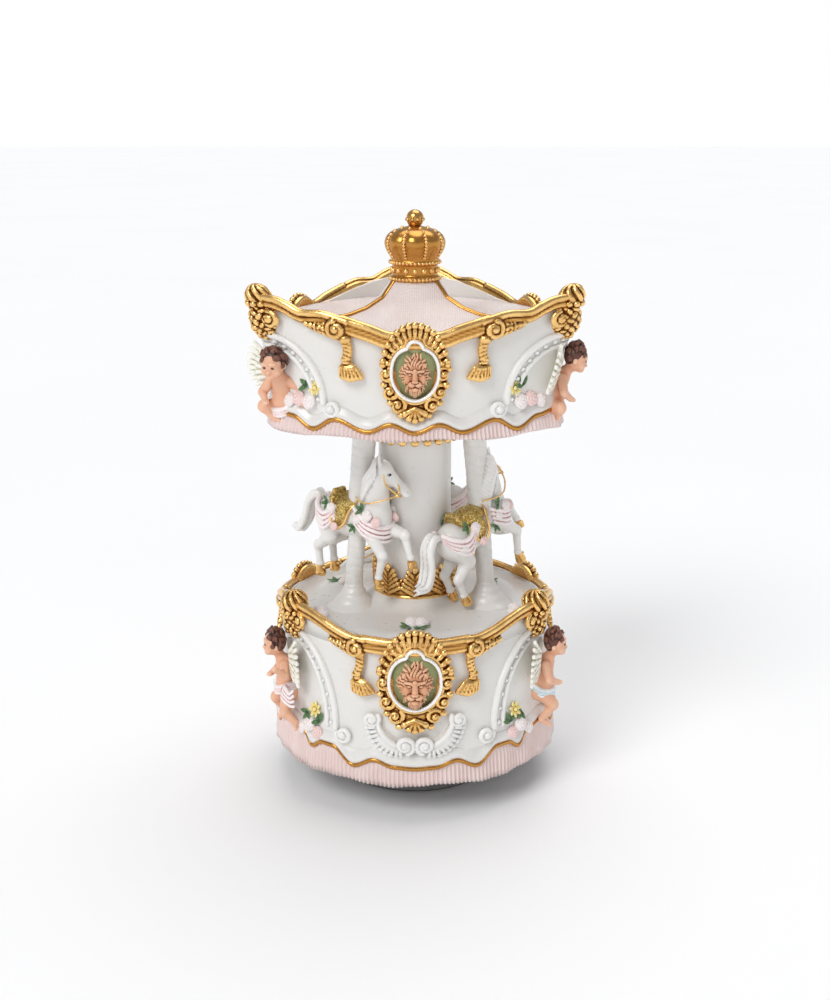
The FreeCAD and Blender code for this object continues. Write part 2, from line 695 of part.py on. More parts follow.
def make_base():
    bottom, deck, wall = D["body_bottom"], D["deck_height"], D["wall"]
    skirt, top = D["skirt_radius"], D["skirt_top"]
    inner = D["cover_radius"] + 0.2
    profile = [
        (inner, bottom),
        (skirt - 2.5, bottom),
        (skirt - 2.5, top),
        (skirt - 0.8, top + 2.0),
        (D["deck_radius"] + 2.2, deck - 22.0),
        (D["deck_radius"] + 0.4, deck - 1.5),
        (D["deck_radius"] - 1.0, deck),
        (D["column_radius"] + 3.0, deck + 0.8),
        (0.0, deck + 0.8),
        (0.0, deck + 0.8 - wall),
        (D["deck_radius"] - wall - 1.5, deck - wall),
        (D["deck_radius"] - wall + 0.6, deck - 22.0),
        (inner + 2.6, top + 2.0),
        (inner + 2.6, bottom + 3.0),
        (inner, bottom + 3.0),
    ]
    shell = revolved_body("base_turned", profile)
    cover_low = bottom + 1.0
    bosses, screws, holes = [], [], []
    for angle in COVER_SCREWS:
        turn = math.radians(angle)
        ring = D["cover_radius"] - 3.5
        x, y = ring * math.sin(turn), ring * (-math.cos(turn))
        bosses.append(cylinder(3.4, 16.0, x=x, y=y, z=cover_low + 2.0))
        holes.append(cylinder(1.2, 9.0, x=x, y=y, z=cover_low))
        shank = cylinder(1.2, 9.0, x=x, y=y, z=cover_low)
        head = cylinder(2.3, 0.9, x=x, y=y, z=cover_low - 0.9)
        screws.append(fuse(shank, head))
    ribs = []
    for angle in COVER_SCREWS:
        turn = math.radians(angle)
        near = number(D["cover_radius"]) - 3.5
        far = number(D["cover_radius"]) + 4.0
        a = Vector(near * math.sin(turn), -near * math.cos(turn), 0)
        b = Vector(far * math.sin(turn), -far * math.cos(turn), 0)
        side = Vector(math.cos(turn), math.sin(turn), 0) * 1.2
        corners = [a + side, b + side, b - side, a - side, a + side]
        lift = Vector(0, 0, number(cover_low) + 2.0)
        outline = Part.Face(Part.makePolygon([c + lift for c in corners]))
        ribs.append(made(outline.extrude(Vector(0, 0, 12.0))))
    keep(cut(fuse(shell, *bosses, *ribs), *holes), "base_shell")
    holes.append(cylinder(D["arbor_radius"] + 1.6, 2.0, z=cover_low))
    for x, y in PLATE_SCREWS:
        holes.append(cylinder(1.2, 1.4, x=x, y=y, z=cover_low + 0.6))
    cover = cut(cylinder(D["cover_radius"], 2.0, z=cover_low), *holes)
    keep(cover, "base_cover")
    keep(group(*screws), "cover_screws")
    gap = D["arbor_radius"] + D["bearing_gap"]
    bush = fuse(
        cylinder(D["arbor_radius"] + 3.0, cover_low - (bottom + 0.3), z=bottom + 0.3),
        cylinder(D["arbor_radius"] + 1.6, 4.0, z=cover_low),
    )
    keep(cut(bush, cylinder(gap, 6.0, z=bottom)), "arbor_bush")
    fringe = cut(
        cone(skirt, skirt - 0.8, top - bottom, z=bottom),
        cylinder(skirt - 2.5, top - bottom, z=bottom),
    )
    keep(fringe, "base_fringe")


def base_wall_radius(height):
    """The base's outer radius at a height above the skirt."""
    skirt, deck = number(D["skirt_radius"]), number(D["deck_radius"])
    share = (height - number(D["skirt_top"])) / (number(D["deck_height"]) - number(D["skirt_top"]))
    return skirt - 0.8 + share * (deck + 0.4 - skirt + 0.8)


def base_rim_height(angle):
    face = abs((angle + 60.0) % 120.0 - 60.0)
    share = min(max((face - 20.0) / 25.0, 0.0), 1.0)
    return number(D["deck_height"]) - 1.0 + 7.0 * share * share * (3 - 2 * share)


def canopy_rim_height(angle):
    lift = (1 - math.cos(math.radians(3 * angle))) / 2
    return number(D["canopy_edge"]) + 8.5 * lift


def make_base_ornaments():
    ring = D["deck_radius"] + 0.6
    rim = wavy_rim(lambda angle: number(ring), base_rim_height, D["rim_tube"])
    deck = D["deck_height"]
    wall = cut(cylinder(ring + 0.9, 14.0, z=deck - 2.0), cylinder(ring - 1.3, 14.0, z=deck - 2.0))
    parapet = cut(wall, made(above_rim(base_rim_height, lambda angle: number(ring))))
    keep(cut(fuse(parapet, rim), kept["base_shell"]), "base_rim")
    shell = facing(shell_figure(), CORNERS[0], ring + 1.2, D["deck_height"] + 0.4)
    keep(made(repeated(seated(shell, "base_shell", "base_rim"))), "base_corner_shells")
    middle = number(D["deck_height"]) - 12.3
    out = base_wall_radius(middle) - 0.4
    frame = facing(cartouche_figure(12.9, 17.0), FRONTS[0], out, middle)
    keep(made(repeated(seated(frame, "base_shell", "base_rim"))), "base_cartouches")
    lion = facing(lion_figure(), FRONTS[0], out + 0.8, middle)
    keep(made(repeated(seated(lion, "base_shell", "base_rim", "base_cartouches"))), "base_lions")
    hang = number(D["deck_height"]) - 2.0
    pair = [facing(tassel_figure(), lean, base_wall_radius(hang) + 0.9, hang) for lean in (-25.0, 25.0)]
    pair = [seated(tassel, "base_shell", "base_rim") for tassel in pair]
    keep(made(Part.makeCompound(repeated(pair[0]).Solids + repeated(pair[1]).Solids)), "base_tassels")
    child = facing(cherub_figure(), CORNERS[0], base_wall_radius(38.0) + 0.6, 38.5)
    child = seated(child, "base_shell", "base_corner_shells", "base_fringe")
    keep(made(repeated(child)), "base_cherubs")


def make_deck_flowers():
    rose = rose_figure()
    deck = number(D["deck_height"]) + 0.3
    parts = []
    for angle, ring in ((0.0, 30.0), (-62.0, 38.0), (66.0, 38.0), (120.0, 30.0), (240.0, 30.0)):
        parts.append(seated(facing(rose, angle, ring, deck), "base_shell"))
    keep(made(Part.makeCompound(parts)), "deck_roses")


# The column and the horses


def make_column():
    low = D["deck_height"] + 0.8
    high = D["canopy_bottom"] + 2.0
    radius = D["column_radius"]
    plinth = 3.4
    solid = fuse(cylinder(radius, high - low, z=low), cylinder(radius + 1.4, plinth, z=low))
    keep(cut(solid, cylinder(radius - D["column_wall"], high - low, z=low)), "column")
    leaf = fuse(
        cone(radius + 1.5, radius + 0.9, 3.0, z=low + plinth),
        cylinder(radius + 0.8, 8.4, z=low + plinth),
    )
    keep(cut(leaf, cylinder(radius, 9.0, z=low + plinth)), "column_leaf_collar")
    beads = cut(cylinder(radius + 1.1, 6.0, z=high - 8.0), cylinder(radius, 6.0, z=high - 8.0))
    keep(beads, "column_bead_collar")


def make_horses():
    """Each horse with its pole, the pole leaning in towards the column."""
    figure = horse_figure()
    deck, under = number(D["deck_height"]) - 0.2, number(D["canopy_bottom"]) + 2.0
    lean = math.radians(number(D["pole_lean"]))
    thin, thick = number(D["pole_radius"]), number(D["pole_upper"])
    body = 93.0 - deck
    for k, (angle, ring, course) in enumerate(HORSES, start=1):
        turn = math.radians(angle)
        inward = Vector(-math.sin(turn), math.cos(turn), 0)
        up = (inward * math.sin(lean) + Vector(0, 0, math.cos(lean))).normalize()
        foot = Vector(ring * math.sin(turn), -ring * math.cos(turn), deck)
        hold = foot + up * (body / math.cos(lean))
        shaft = Part.makeCylinder(thin, 40.0, foot, up)
        upper = Part.makeCylinder(thick, 44.0, hold + up * 6.0, up)
        cap = Part.makeCone(9.2, thin + 1.4, 8.0, foot, Vector(0, 0, 1))
        above = Part.makeBox(200, 200, 60, Vector(-100, -100, under))
        pole = seated(joined([shaft, upper, cap]).cut(above), "base_shell")
        heading = Rotation(Vector(0, 0, 1), course)
        horse = figure.transformed(Placement(hold, heading).toMatrix())
        keep(made(pole), f"pole_{k}")
        keep(made(horse.cut(pole)), f"horse_{k}")


# The canopy


def canopy_outline(z, inset=0.0):
    """The wall's outline at a height, between its narrow lower edge and its flared top."""
    start = number(D["canopy_bottom"]) + 4.5
    share = (z - start) / (number(D["canopy_high"]) - start)
    low_corner = D["canopy_low_corner"].value
    corner = low_corner + share * (D["canopy_corner"].value - low_corner)
    side = D["canopy_low_side"].value + share * (D["canopy_side"].value - D["canopy_low_side"].value)
    return rounded_triangle(corner, side, z, inset)


def above_rim(height_at, radius_at, steps=48, far=90.0):
    """A solid over the wavy line of a rim, to trim the wall under it to."""
    middle = height_at(0.0)
    top = middle + 60.0
    centre, ring = Vector(0, 0, middle), []
    for i in range(steps):
        angle = 360.0 * (i + 0.5) / steps
        turn = math.radians(angle)
        rise = (height_at(angle) - middle) * far / radius_at(angle)
        ring.append(Vector(far * math.sin(turn), -far * math.cos(turn), middle + rise))
    faces = []
    for a, b in zip(ring, ring[1:] + ring[:1]):
        high_a, high_b = Vector(a.x, a.y, top), Vector(b.x, b.y, top)
        faces.append(Part.Face(Part.makePolygon([centre, a, b, centre])))
        faces.append(Part.Face(Part.makePolygon([a, b, high_b, high_a, a])))
        faces.append(Part.Face(Part.makePolygon([Vector(0, 0, top), high_a, high_b, Vector(0, 0, top)])))
    return Part.makeSolid(Part.makeShell(faces))


def make_canopy():
    low, high = number(D["canopy_bottom"]), number(D["canopy_high"])
    start, ceiling = low + 4.5, low + 2.0
    outside = canopy_loft(canopy_outline(start), canopy_outline(high))
    inside = canopy_loft(canopy_outline(start, 2.2), canopy_outline(high, 2.2))
    keep(cut(outside, inside, made(above_rim(canopy_rim_height, triangle_radius))), "canopy_wall")
    outline = Part.Face(canopy_outline(start, -0.6))
    outside = made(outline.extrude(Vector(0, 0, low - start)), "fringe_outside")
    inside = made(Part.Face(canopy_outline(start, 2.2)).extrude(Vector(0, 0, low - start)), "fringe_inside")
    keep(cut(outside, inside), "canopy_fringe")
    plate = Part.Face(canopy_outline(start, 2.2)).extrude(Vector(0, 0, ceiling - start))
    keep(made(plate), "canopy_ceiling")


def make_roof():
    """A concave tent of three faces, standing inside the canopy's walls."""
    edge, peak = number(D["canopy_edge"]), number(D["canopy_peak"])
    levels = [(1.0, edge - 3.0), (0.62, edge + 1.4), (0.36, edge + 4.6), (0.19, peak)]
    thick = 1.8
    tops, unders = [], []
    for share, z in levels:
        shrink = FreeCAD.Matrix()
        shrink.scale(Vector(share, share, 1))
        wire = canopy_outline(edge - 3.0, 2.2)
        wire.translate(Vector(0, 0, -(edge - 3.0)))
        wire = wire.transformGeometry(shrink)
        wire.translate(Vector(0, 0, z))
        tops.append(wire)
        under = wire.copy()
        under.translate(Vector(0, 0, -thick))
        unders.append(under)
    tent = Part.makeLoft(tops, True, True).fuse(Part.Face(tops[0]).extrude(Vector(0, 0, -thick)))
    tent = tent.cut(Part.makeLoft(unders, True, True))
    keep(made(seated(tent, "canopy_wall")), "canopy_roof")


def make_canopy_ornaments():
    edge, low = number(D["canopy_edge"]), number(D["canopy_bottom"])
    rim = wavy_rim(triangle_radius, canopy_rim_height, D["rim_tube"])
    keep(cut(rim, kept["canopy_wall"]), "canopy_rim")
    finial = facing(finial_figure(), CORNERS[0], D["canopy_corner"] + 0.6, edge + 8.4)
    keep(made(repeated(seated(finial, "canopy_wall", "canopy_rim"))), "corner_finials")
    middle = edge - 11.0
    frame = facing(cartouche_figure(11.2, 15.4), FRONTS[0], D["canopy_side"] - 0.6, middle)
    keep(made(repeated(seated(frame, "canopy_wall", "canopy_rim", "canopy_fringe"))), "canopy_cartouches")
    lion = facing(lion_figure(), FRONTS[0], D["canopy_side"] + 0.2, middle)
    keep(made(repeated(seated(lion, "canopy_wall", "canopy_rim", "canopy_cartouches"))), "canopy_lions")
    out = triangle_radius(30.0)
    pair = [facing(tassel_figure(), lean, out - 0.2, edge + 1.5) for lean in (-30.0, 30.0)]
    pair = [seated(tassel, "canopy_wall", "canopy_rim") for tassel in pair]
    keep(made(Part.makeCompound(repeated(pair[0]).Solids + repeated(pair[1]).Solids)), "canopy_tassels")
    child = facing(cherub_figure(), CORNERS[0], D["canopy_low_corner"] + 1.0, low + 15.0)
    child = seated(child, "canopy_wall", "canopy_fringe", "corner_finials")
    keep(made(repeated(child)), "canopy_cherubs")


def make_crown():
    low, top, radius = D["canopy_peak"], D["crown_top"], D["crown_radius"]
    band = fuse(
        cylinder(radius - 2.4, 6.4, z=low),
        torus(radius - 2.4, 0.7, z=low + 1.0),
        torus(radius - 2.4, 0.7, z=low + 5.4),
    )
    bowl = doc.addObject("Part::Ellipsoid", "bowl")
    bind(bowl, Radius1=6.6, Radius2=radius, Radius3=radius)
    bowl = put(bowl, z=low + 12.0)
    keep(fuse(band, bowl), "crown")
    bell = cut(sphere(3.1, z=top - 3.1), bowl)
    keep(bell, "crown_ball")


def check_and_export():
    doc.recompute()
    for obj in doc.Objects:
        if {"Invalid", "Error"} & set(obj.State):
            raise RuntimeError(f"{obj.Label} failed: {obj.State}")
    os.makedirs("parts", exist_ok=True)
    for old in os.listdir("parts"):
        if old.endswith(".step"):
            os.remove(os.path.join("parts", old))
    for label, obj in sorted(kept.items()):
        shape = obj.Shape
        if shape.isNull() or not shape.isValid() or not shape.Solids:
            raise RuntimeError(f"{label} has no valid solid")
        shape.exportStep(f"parts/{label}.step")
        print(f"{label:22s} solids {len(shape.Solids):3d}  volume {shape.Volume:10.1f}")


make_foot()
make_drive_wheel()
make_movement_frame()
make_mainspring()
make_music_cylinder()
make_governor()
make_base()
make_base_ornaments()
make_deck_flowers()
make_column()
make_horses()
make_canopy()
make_roof()
make_canopy_ornaments()
make_crown()
check_and_export()
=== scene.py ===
import json
import math
import random

import bpy
import numpy as np
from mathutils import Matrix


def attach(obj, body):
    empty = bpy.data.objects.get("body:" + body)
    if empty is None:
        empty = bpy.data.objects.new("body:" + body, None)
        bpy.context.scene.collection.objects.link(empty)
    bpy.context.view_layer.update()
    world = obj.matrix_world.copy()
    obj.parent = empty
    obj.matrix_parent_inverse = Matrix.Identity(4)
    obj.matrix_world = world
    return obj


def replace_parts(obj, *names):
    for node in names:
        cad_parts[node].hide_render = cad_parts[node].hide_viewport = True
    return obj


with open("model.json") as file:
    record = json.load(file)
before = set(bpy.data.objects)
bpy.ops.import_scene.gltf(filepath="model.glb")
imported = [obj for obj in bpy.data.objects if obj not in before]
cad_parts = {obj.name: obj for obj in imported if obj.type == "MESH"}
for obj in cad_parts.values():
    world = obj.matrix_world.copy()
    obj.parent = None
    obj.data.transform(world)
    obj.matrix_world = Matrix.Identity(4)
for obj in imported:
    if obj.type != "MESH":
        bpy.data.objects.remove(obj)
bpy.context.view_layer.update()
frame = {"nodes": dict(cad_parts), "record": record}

import openvdb
from mathutils import Matrix, Vector

# A carousel music box of cast resin: pearl white with antique gold ornaments. Lengths are in
# millimetres until a mesh is made. A relief is modelled flat, as if it faced -Y with its back at
# y = 0, and is then laid on the wall behind it.

MM = 0.001
FAR = 6.0
CORNERS = (60.0, 180.0, 300.0)
BASE_ARC = 48.0  # one radian round the base, along the wall
CANOPY_ARC = 50.0
DECK_TOP = 63.3
CANOPY_START, CANOPY_HIGH = 135.5, 174.0
COLUMN_RADIUS = 12.7
# Each horse: the angle and radius of its pole, its course, its height, its pitch and its slide forward
HORSES = (
    (-68.0, 24.0, -42.0, 94.5, 4.0, -1.0),
    (76.0, 26.5, 42.0, 92.8, -15.0, -3.5),
    (173.0, 28.0, 173.0, 92.5, 0.0, 0.0),
)
POLE_LEAN = math.tan(math.radians(5.0))


# Walls that reliefs lie on


def base_radius(angle, z):
    """The base wall's radius, the same at every angle, at a height."""
    heights = [13.0, 22.0, 24.0, 40.5, 61.0, 62.5, 70.0]
    return np.interp(z, heights, [48.0, 48.6, 49.7, 48.7, 46.9, 46.6, 46.6])


def canopy_radius(angle, z):
    """The canopy wall's radius at an angle from the front, in radians, and a height."""
    share = (z - CANOPY_START) / (CANOPY_HIGH - CANOPY_START)
    corner, side, knob = 52.0 + 5.0 * share, 45.5 + 0.5 * share, 9.0
    p, m = corner - knob, side - knob
    q = (p * p - m * m) / (2 * m - p)
    reach = q + side
    third = 2 * math.pi / 3
    face = np.abs((angle + third / 2) % third - third / 2)
    long_arc = -q * np.cos(face) + np.sqrt(reach**2 - (q * np.sin(face)) ** 2)
    away = math.pi / 3 - face
    short_arc = p * np.cos(away) + np.sqrt(np.maximum(knob**2 - (p * np.sin(away)) ** 2, 0.0))
    along, across = p / 2 + q, p * math.sqrt(3) / 2
    size = np.hypot(along, across)
    meeting = np.arctan2(across / size * reach, along / size * reach - q)
    return np.where(face < meeting, long_arc, short_arc)


def wrapped(points, turn, arc, radius_at):
    """Lays a flat relief on a wall: x runs along the wall, and y goes into it."""
    angle = points[:, 0] / arc + math.radians(turn)
    radius = radius_at(angle, points[:, 2]) - points[:, 1]
    return np.column_stack([radius * np.sin(angle), -radius * np.cos(angle), points[:, 2]])


def on_base(points, turn=0.0):
    return wrapped(points, turn, BASE_ARC, base_radius)


def on_canopy(points, turn=0.0):
    return wrapped(points, turn, CANOPY_ARC, canopy_radius)


def on_column(points, turn=0.0):
    return wrapped(points, turn, COLUMN_RADIUS, lambda angle, z: COLUMN_RADIUS)


def around(radius, turn, z=0.0):
    """The point at a radius from the axis and a turn from the front, in radians."""
    return np.array([radius * math.sin(turn), -radius * math.cos(turn), z])


def full_turn(count):
    return np.linspace(0, 2 * math.pi, count + 1)[:-1]


def spin(axis, degrees):
    return np.array(Matrix.Rotation(math.radians(degrees), 3, axis))


# Modelling clay: soft forms added and carved on a grid of signed distances


def soft_min(a, b, soft):
    near = np.maximum(soft - np.abs(a - b), 0.0) / soft
    return np.minimum(a, b) - near * near * soft * 0.25


class Clay:
    def __init__(self, low, high, cell=0.3):
        self.cell = cell
        self.low = np.array(low, dtype=np.float32)
        counts = [int(round((b - a) / cell)) + 1 for a, b in zip(low, high)]
        self.axes = [(a + cell * np.arange(n)).astype(np.float32) for a, n in zip(low, counts)]
        self.field = np.full(counts, FAR, dtype=np.float32)

    def window(self, centre, reach):
        spans = []
        for axis, middle, half in zip(self.axes, centre, reach):
            start, stop = np.searchsorted(axis, (middle - half, middle + half))
            spans.append(slice(int(start), int(stop)))
        return tuple(spans), np.ix_(*(axis[span] for axis, span in zip(self.axes, spans)))

    def blend(self, spans, distance, soft, carve):
        old = self.field[spans]
        if old.size == 0:
            return
        soft = max(soft, 0.02)
        self.field[spans] = -soft_min(-old, distance, soft) if carve else soft_min(old, distance, soft)

    def egg(self, centre, radii, soft=0.6, turn=None, carve=False):
        radii = np.broadcast_to(np.array(radii, dtype=np.float32), (3,))
        reach = float(max(radii)) + soft + 2 * self.cell
        spans, grids = self.window(centre, (reach,) * 3)
        local = [grid - middle for grid, middle in zip(grids, centre)]
        if turn is not None:
            local = [sum(turn[i][k] * local[i] for i in range(3)) for k in range(3)]
        near = np.sqrt(sum((v / r) ** 2 for v, r in zip(local, radii)))
        slope = np.sqrt(sum((v / r**2) ** 2 for v, r in zip(local, radii)))
        self.blend(spans, near * (near - 1.0) / np.maximum(slope, 1e-4), soft, carve)

    def limb(self, a, b, start, end=None, soft=0.6, carve=False):
        self.path((a, b), (start, start if end is None else end), soft, carve)

    def path(self, points, radii, soft=0.4, carve=False):
        """A tube through the points, joined as one form before it is blended."""
        points = np.array(points, dtype=np.float32)
        radii = np.broadcast_to(np.array(radii, dtype=np.float32), (len(points),))
        low, high = points.min(axis=0), points.max(axis=0)
        reach = (high - low) / 2 + float(radii.max()) + soft + 2 * self.cell
        spans, (x, y, z) = self.window((low + high) / 2, reach)
        tube = np.full(self.field[spans].shape, FAR, dtype=np.float32)
        if tube.size == 0:
            return
        for a, b, start, end in zip(points, points[1:], radii, radii[1:]):
            along = b - a
            length = max(float(along @ along), 1e-6)
            share = ((x - a[0]) * along[0] + (y - a[1]) * along[1] + (z - a[2]) * along[2]) / length
            share = np.clip(share, 0.0, 1.0)
            gap = [grid - origin - share * step for grid, origin, step in zip((x, y, z), a, along)]
            tube = np.minimum(tube, np.sqrt(sum(v * v for v in gap)) - (start + (end - start) * share))
        self.blend(spans, tube, soft, carve)

    def mirror(self, soft=0.3):
        self.field = soft_min(self.field, self.field[::-1], soft)

    def surface(self, bend=None, blur=3):
        """Points in millimetres, faces, and how much each point stands out from its neighbourhood."""
        field = np.clip(self.field, -FAR, FAR)
        for axis in range(3):
            edge = [slice(None)] * 3
            for end in (0, -1):
                edge[axis] = end
                field[tuple(edge)] = FAR
        calm = np.clip(field, -1.5, 1.5)
        sharp = calm.copy()
        for _ in range(blur):
            for axis in range(3):
                calm = (np.roll(calm, 1, axis) + np.roll(calm, -1, axis) + 2.0 * calm) / 4.0
        grid = openvdb.FloatGrid(FAR)
        grid.copyFromArray(field)
        points, quads = grid.convertToQuads(isovalue=0.0)
        spot = tuple(np.clip(np.rint(points).astype(int), 0, np.array(field.shape) - 1).T)
        crest = (calm[spot] - sharp[spot]) / self.cell
        points = points * self.cell + self.low
        return (bend(points) if bend else points), quads, crest


def smooth_line(points, steps=8):
    """A Catmull-Rom line through the points."""
    points = [np.array(p, dtype=float) for p in points]
    ends = [2 * points[0] - points[1]] + points + [2 * points[-1] - points[-2]]
    line = []
    for before, a, b, after in zip(ends, ends[1:], ends[2:], ends[3:]):
        for i in range(steps):
            t = i / steps
            line.append(0.5 * (2 * a + (b - before) * t + (2 * before - 5 * a + 4 * b - after) * t * t
                               + (3 * a - before - 3 * b + after) * t**3))
    return line + [points[-1]]


# Pieces


def new_mesh(name, points, faces, material, crest=None):
    mesh = bpy.data.meshes.new(name)
    mesh.from_pydata((np.asarray(points) * MM).tolist(), [], faces)
    if crest is not None:
        layer = mesh.attributes.new("crest", "FLOAT", "POINT")
        layer.data.foreach_set("value", np.asarray(crest, dtype=np.float32))
    mesh.shade_smooth()
    mesh.materials.append(material)
    return mesh


def clay_mesh(name, clay, material, bend=None, blur=3):
    points, quads, crest = clay.surface(bend, blur)
    return new_mesh(name, points, quads.tolist(), material, crest)


def show(name, mesh, place=None):
    obj = bpy.data.objects.new(name, mesh)
    bpy.context.scene.collection.objects.link(obj)
    if place is not None:
        obj.matrix_world = place
    bpy.context.view_layer.update()
    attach(obj, "carousel")
    return obj


def clay_piece(name, clay, material, bend=None, blur=3):
    return show(name, clay_mesh(name, clay, material, bend, blur))


def thrice(name, clay, material, bend, *nodes, blur=3):
    """A relief repeated on the three sides, sharing its mesh, in the place of CAD nodes."""
    pieces = [clay_piece(name, clay, material, bend, blur)]
    for k, turn in ((2, 120.0), (3, 240.0)):
        pieces.append(show(f"{name}_{k}", pieces[0].data, place=Matrix.Rotation(math.radians(turn), 4, "Z")))
    if nodes:
        for piece in pieces:
            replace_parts(piece, *nodes)


def at_corner(lay):
    """A way to lay a relief on the wall's corner instead of its face."""
    return lambda points: lay(points, 60.0)


def turned_ring(name, sections, material, closed=True):
    """A closed surface from rings of points: sections[i][j] is point j of section i."""
    sections = np.asarray(sections)
    count, size = sections.shape[:2]
    faces = []
    for i in range(count if closed else count - 1):
        here, there = i * size, (i + 1) % count * size
        for j in range(size):
            k = (j + 1) % size
            faces.append((here + j, there + j, there + k, here + k))
    if not closed:
        faces.append(tuple(range(size)))
        faces.append(tuple(reversed(range((count - 1) * size, count * size))))
    return show(name, new_mesh(name, sections.reshape(-1, 3), faces, material))


# Finishes


class Finish:
    """A node material on the Principled shader, with helpers for the parts of it."""

    def __init__(self, name):
        self.material = bpy.data.materials.new(name)
        self.material.use_nodes = True
        self.tree = self.material.node_tree
        self.shader = self.tree.nodes["Principled BSDF"]
        self.place = self.node("ShaderNodeTexCoord").outputs["Object"]

    def node(self, kind, **inputs):
        node = self.tree.nodes.new(kind)
        for key, value in inputs.items():
            socket = node.inputs[key.replace("_", " ")]
            if isinstance(value, bpy.types.NodeSocket):
                self.tree.links.new(value, socket)
            else:
                socket.default_value = value
        return node

    def noise(self, scale, detail=3.0):
        return self.node("ShaderNodeTexNoise", Vector=self.place, Scale=scale, Detail=detail).outputs["Fac"]

    def ramp(self, value, stops):
        node = self.node("ShaderNodeValToRGB", Fac=value)
        elements = node.color_ramp.elements
        while len(elements) < len(stops):
            elements.new(0.5)
        for element, (place, colour) in zip(elements, stops):
            element.position = place
            element.color = (*colour, 1.0)
        return node.outputs["Color"]

    def spread(self, value, low, high, start=0.0, end=1.0):
        node = self.node("ShaderNodeMapRange", Value=value)
        node.inputs["From Min"].default_value = start
        node.inputs["From Max"].default_value = end
        node.inputs["To Min"].default_value = low
        node.inputs["To Max"].default_value = high
        return node.outputs["Result"]

    # The crest attribute is the mask for the painted shade in the hollows and the painted highlight on the
    # crests
    def crest(self, reach):
        node = self.node("ShaderNodeAttribute")
        node.attribute_name = "crest"
        return self.spread(node.outputs["Fac"], 0.0, 1.0, -reach, reach)

    def tinted(self, colour, other, share):
        node = self.node("ShaderNodeMix")
        node.data_type = "RGBA"
        self.tree.links.new(share, node.inputs[0])
        self.tree.links.new(colour, node.inputs[6])
        node.inputs[7].default_value = (*other, 1.0)
        return node.outputs[2]

    def bump(self, height, strength, distance):
        node = self.node("ShaderNodeBump", Height=height, Strength=strength, Distance=distance)
        self.tree.links.new(node.outputs["Normal"], self.shader.inputs["Normal"])

    def colour(self, socket):
        self.tree.links.new(socket, self.shader.inputs["Base Color"])

    def rough(self, low, high, scale=400.0):
        spread = self.spread(self.noise(scale), low, high, 0.3, 0.7)
        self.tree.links.new(spread, self.shader.inputs["Roughness"])

    def set(self, **values):
        for key, value in values.items():
            self.shader.inputs[key.replace("_", " ")].default_value = value
        return self


def painted(name, shade_tone_highlight, reach=0.25, blotch=None, rough=(0.35, 0.5), grain=(900.0, 0.08), **more):
    """The paint's own colour, with painted shade in the hollows and a painted highlight on the crests; the
    three colours are the painted shade, the paint's own tone and the painted highlight.
    """
    finish = Finish(name)
    painted_shade, middle, painted_highlight = shade_tone_highlight
    # Painted shade in the hollows and a painted highlight on the crests, set by the crest attribute
    colour = finish.ramp(finish.crest(reach), [(0.0, painted_shade), (0.5, middle), (1.0, painted_highlight)])
    if blotch:
        colour = finish.tinted(colour, blotch, finish.spread(finish.noise(160.0, 4.0), 0.0, 0.45, 0.45, 0.75))
    finish.colour(colour)
    finish.rough(*rough)
    finish.bump(finish.noise(grain[0], 4.0), grain[1], 0.0004)
    finish.set(**more)
    return finish.material


# Each finish lists a painted shade for the hollows, the paint's own tone, and a painted highlight for the
# crests
PEARL = painted(
    "pearl_white", ((0.52, 0.51, 0.50), (0.80, 0.785, 0.755), (0.90, 0.89, 0.865)),
    blotch=(0.79, 0.775, 0.75), rough=(0.26, 0.40), grain=(700.0, 0.02),
    Coat_Weight=0.35, Coat_Roughness=0.18,
)
GOLD = painted(
    "antique_gold", ((0.07, 0.018, 0.003), (0.56, 0.27, 0.06), (0.98, 0.64, 0.25)), reach=0.2,
    blotch=(0.44, 0.19, 0.035), rough=(0.17, 0.33), grain=(1200.0, 0.14), Metallic=0.9,
)
PINK = painted(
    "pearl_pink", ((0.52, 0.35, 0.32), (0.84, 0.68, 0.65), (0.95, 0.87, 0.85)), blotch=(0.90, 0.80, 0.78),
    rough=(0.28, 0.42), Coat_Weight=0.3, Coat_Roughness=0.2,
)
SKIN = painted(
    "skin", ((0.50, 0.17, 0.08), (0.80, 0.43, 0.27), (0.90, 0.58, 0.41)), reach=0.35,
    blotch=(0.82, 0.38, 0.24), rough=(0.42, 0.55),
)
HAIR = painted("dark_hair", ((0.02, 0.006, 0.004), (0.085, 0.026, 0.017), (0.20, 0.075, 0.045)))
TERRACOTTA = painted(
    "terracotta", ((0.055, 0.014, 0.005), (0.66, 0.29, 0.14), (0.88, 0.52, 0.32)), reach=0.17,
    blotch=(0.58, 0.22, 0.10), rough=(0.5, 0.65),
)
SILVER = painted(
    "silver_line", ((0.30, 0.29, 0.25), (0.78, 0.77, 0.74), (0.95, 0.95, 0.93)),
    rough=(0.2, 0.35), Metallic=0.45,
)
OLIVE = painted(
    "olive_ground", ((0.10, 0.11, 0.03), (0.27, 0.29, 0.12), (0.42, 0.44, 0.22)), blotch=(0.30, 0.31, 0.18),
    rough=(0.4, 0.6),
)
PETAL = painted(
    "rose_petal", ((0.76, 0.48, 0.46), (0.90, 0.83, 0.81), (0.97, 0.95, 0.94)), 0.3, rough=(0.3, 0.45),
)
PINK_PETAL = painted(
    "pink_petal", ((0.62, 0.30, 0.29), (0.88, 0.62, 0.59), (0.95, 0.80, 0.77)), 0.3, rough=(0.3, 0.45),
)
LEAF = painted("leaf_green", ((0.015, 0.045, 0.015), (0.06, 0.15, 0.05), (0.20, 0.32, 0.14)))
YELLOW = painted("daisy_yellow", ((0.42, 0.22, 0.02), (0.86, 0.66, 0.16), (0.95, 0.86, 0.45)))
